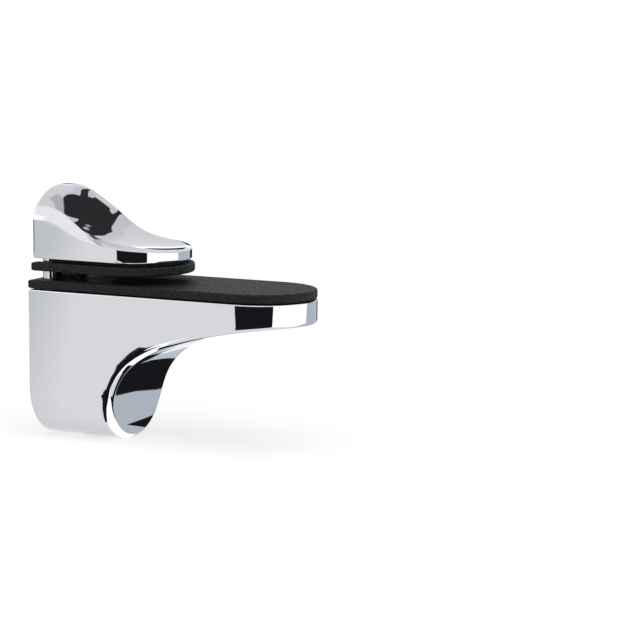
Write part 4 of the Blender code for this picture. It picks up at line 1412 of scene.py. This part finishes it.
table_card("white_toe_card", [
    (-10, -19), (-36, -20.5), (-90, 2), (-95, -6), (-60, -19), (-40, -29), (-20, -34), (0, -34),
    (2, -26), (-2, -22),
], WHITE, 2, 0.3)
table_card("white_table_card", [
    (-131, -188), (-250, -350), (-620, -900), (500, -900), (240, -330), (60, -200), (0, -120),
], WHITE, 1)
table_card("blue_table_card", [
    (60, -200), (240, -330), (500, -600), (500, -60), (120, -20), (60, -12), (24, -12),
    (24, -20), (2, -26.5), (0, -33), (-24, -33), (-10, -60),
], GREY_BLUE, 1, 0.5)
table_card("black_strip", [
    (13, -34.8), (24, -35.2), (36, -36.4), (60, -37), (60, -30), (46, -24), (43.5, -22),
    (37, -18.3), (30, -18.9), (24, -20.5), (17, -24.8), (12, -28.2),
], BLACK, 3, 0.3)
table_card("dark_edge_card", [(180, -60), (600, -60), (600, 250), (180, 60)], BLACK, 2)
table_card("back_card", [(-160, 300), (-300, 900), (900, 900), (250, 150)], BLACK, 2, 4.0)
table_card("shade_card", [
    (-20, -3), (-904, 507), (-904, 900), (200, 900), (200, -3),
], SHADE, 1, 17.0)

# Cards in the air
sky_card("umbrella", [
    (-32, 64), (-32, 20), (-14, 24), (-3.5, 21.5), (-3.5, 24.2), (-9, 26.8), (-10, 28.6),
    (-5, 28.3), (0, 26.6), (4, 25), (8, 22.2), (12, 18.6), (15.5, 14.8), (17.5, 14.8), (17, 17),
    (14, 19.8), (10.5, 24.5), (8, 28), (5, 30), (2, 31.6), (-2, 32), (-6, 32), (-10.5, 32.6),
    (-9, 40), (-8.5, 50), (-10, 58), (-11, 62), (-14, 64.5),
], DARK, 3.0, 0.25)
sky_card("umbrella_halo", [
    (-40, 74), (-6, 72), (-1, 58), (0, 46), (1, 39), (8, 36), (14, 32), (19, 25), (23, 15),
    (20, 9), (13, 10), (6, 16), (2, 18), (-14, 15), (-40, 12),
], HALO, 3.9, 4.0)
round_card("far_strip", (16, 38), (-1.0, 12.0), BLACK, 0.86, (2.0, 0.4))
round_card("low_light", (12, 40), (11.5, 16), LOW_LIGHT, 0.88, (3.0, 1.5))
round_card("front_card", (-131, -50), (-6, 60), FRONT_LIGHT, CARD_RADIUS)
round_card("blue_card", (-52, -4), (-6, 16), GREY_BLUE, 0.89, (10.0, 4.0))
round_card("edge_card", (-6, 18), (-6, 3), BLACK, 0.87, (1.0, 1.0))
round_card("left_softbox", (95, 152), (4, 32), WHITE, CARD_RADIUS, (6.0, 3.0))
round_card("upper_softbox", (105, 215), (18, 80), LIGHT, 0.95, (8.0, 5.0))
round_card("overhead_card", (-70, 80), (62, 88), HIGH_GREY, 0.93, (8.0, 6.0))

world = bpy.data.worlds.new("studio")
world.use_nodes = True
tree = world.node_tree
sky = set_inputs(tree.nodes["Background"], Color=(*SKY, 1.0))
path = tree.nodes.new("ShaderNodeLightPath")
dim = add_node(tree, "ShaderNodeMapRange", To_Min=1.0, To_Max=DIFFUSE_SKY)
link(path, "Is Diffuse Ray", dim, "Value")
link(dim, "Result", sky, "Strength")
bpy.context.scene.world = world
bpy.context.scene.view_settings.view_transform = "Standard"

overhead = bpy.data.lights.new("overhead_light", "SUN")
overhead.energy = SUN_STRENGTH
overhead.angle = SUN_SPREAD
overhead_lamp = bpy.data.objects.new("overhead_light", overhead)
overhead_lamp.rotation_euler = SUN_TURN
overhead_lamp.visible_glossy = False
bpy.context.scene.collection.objects.link(overhead_lamp)
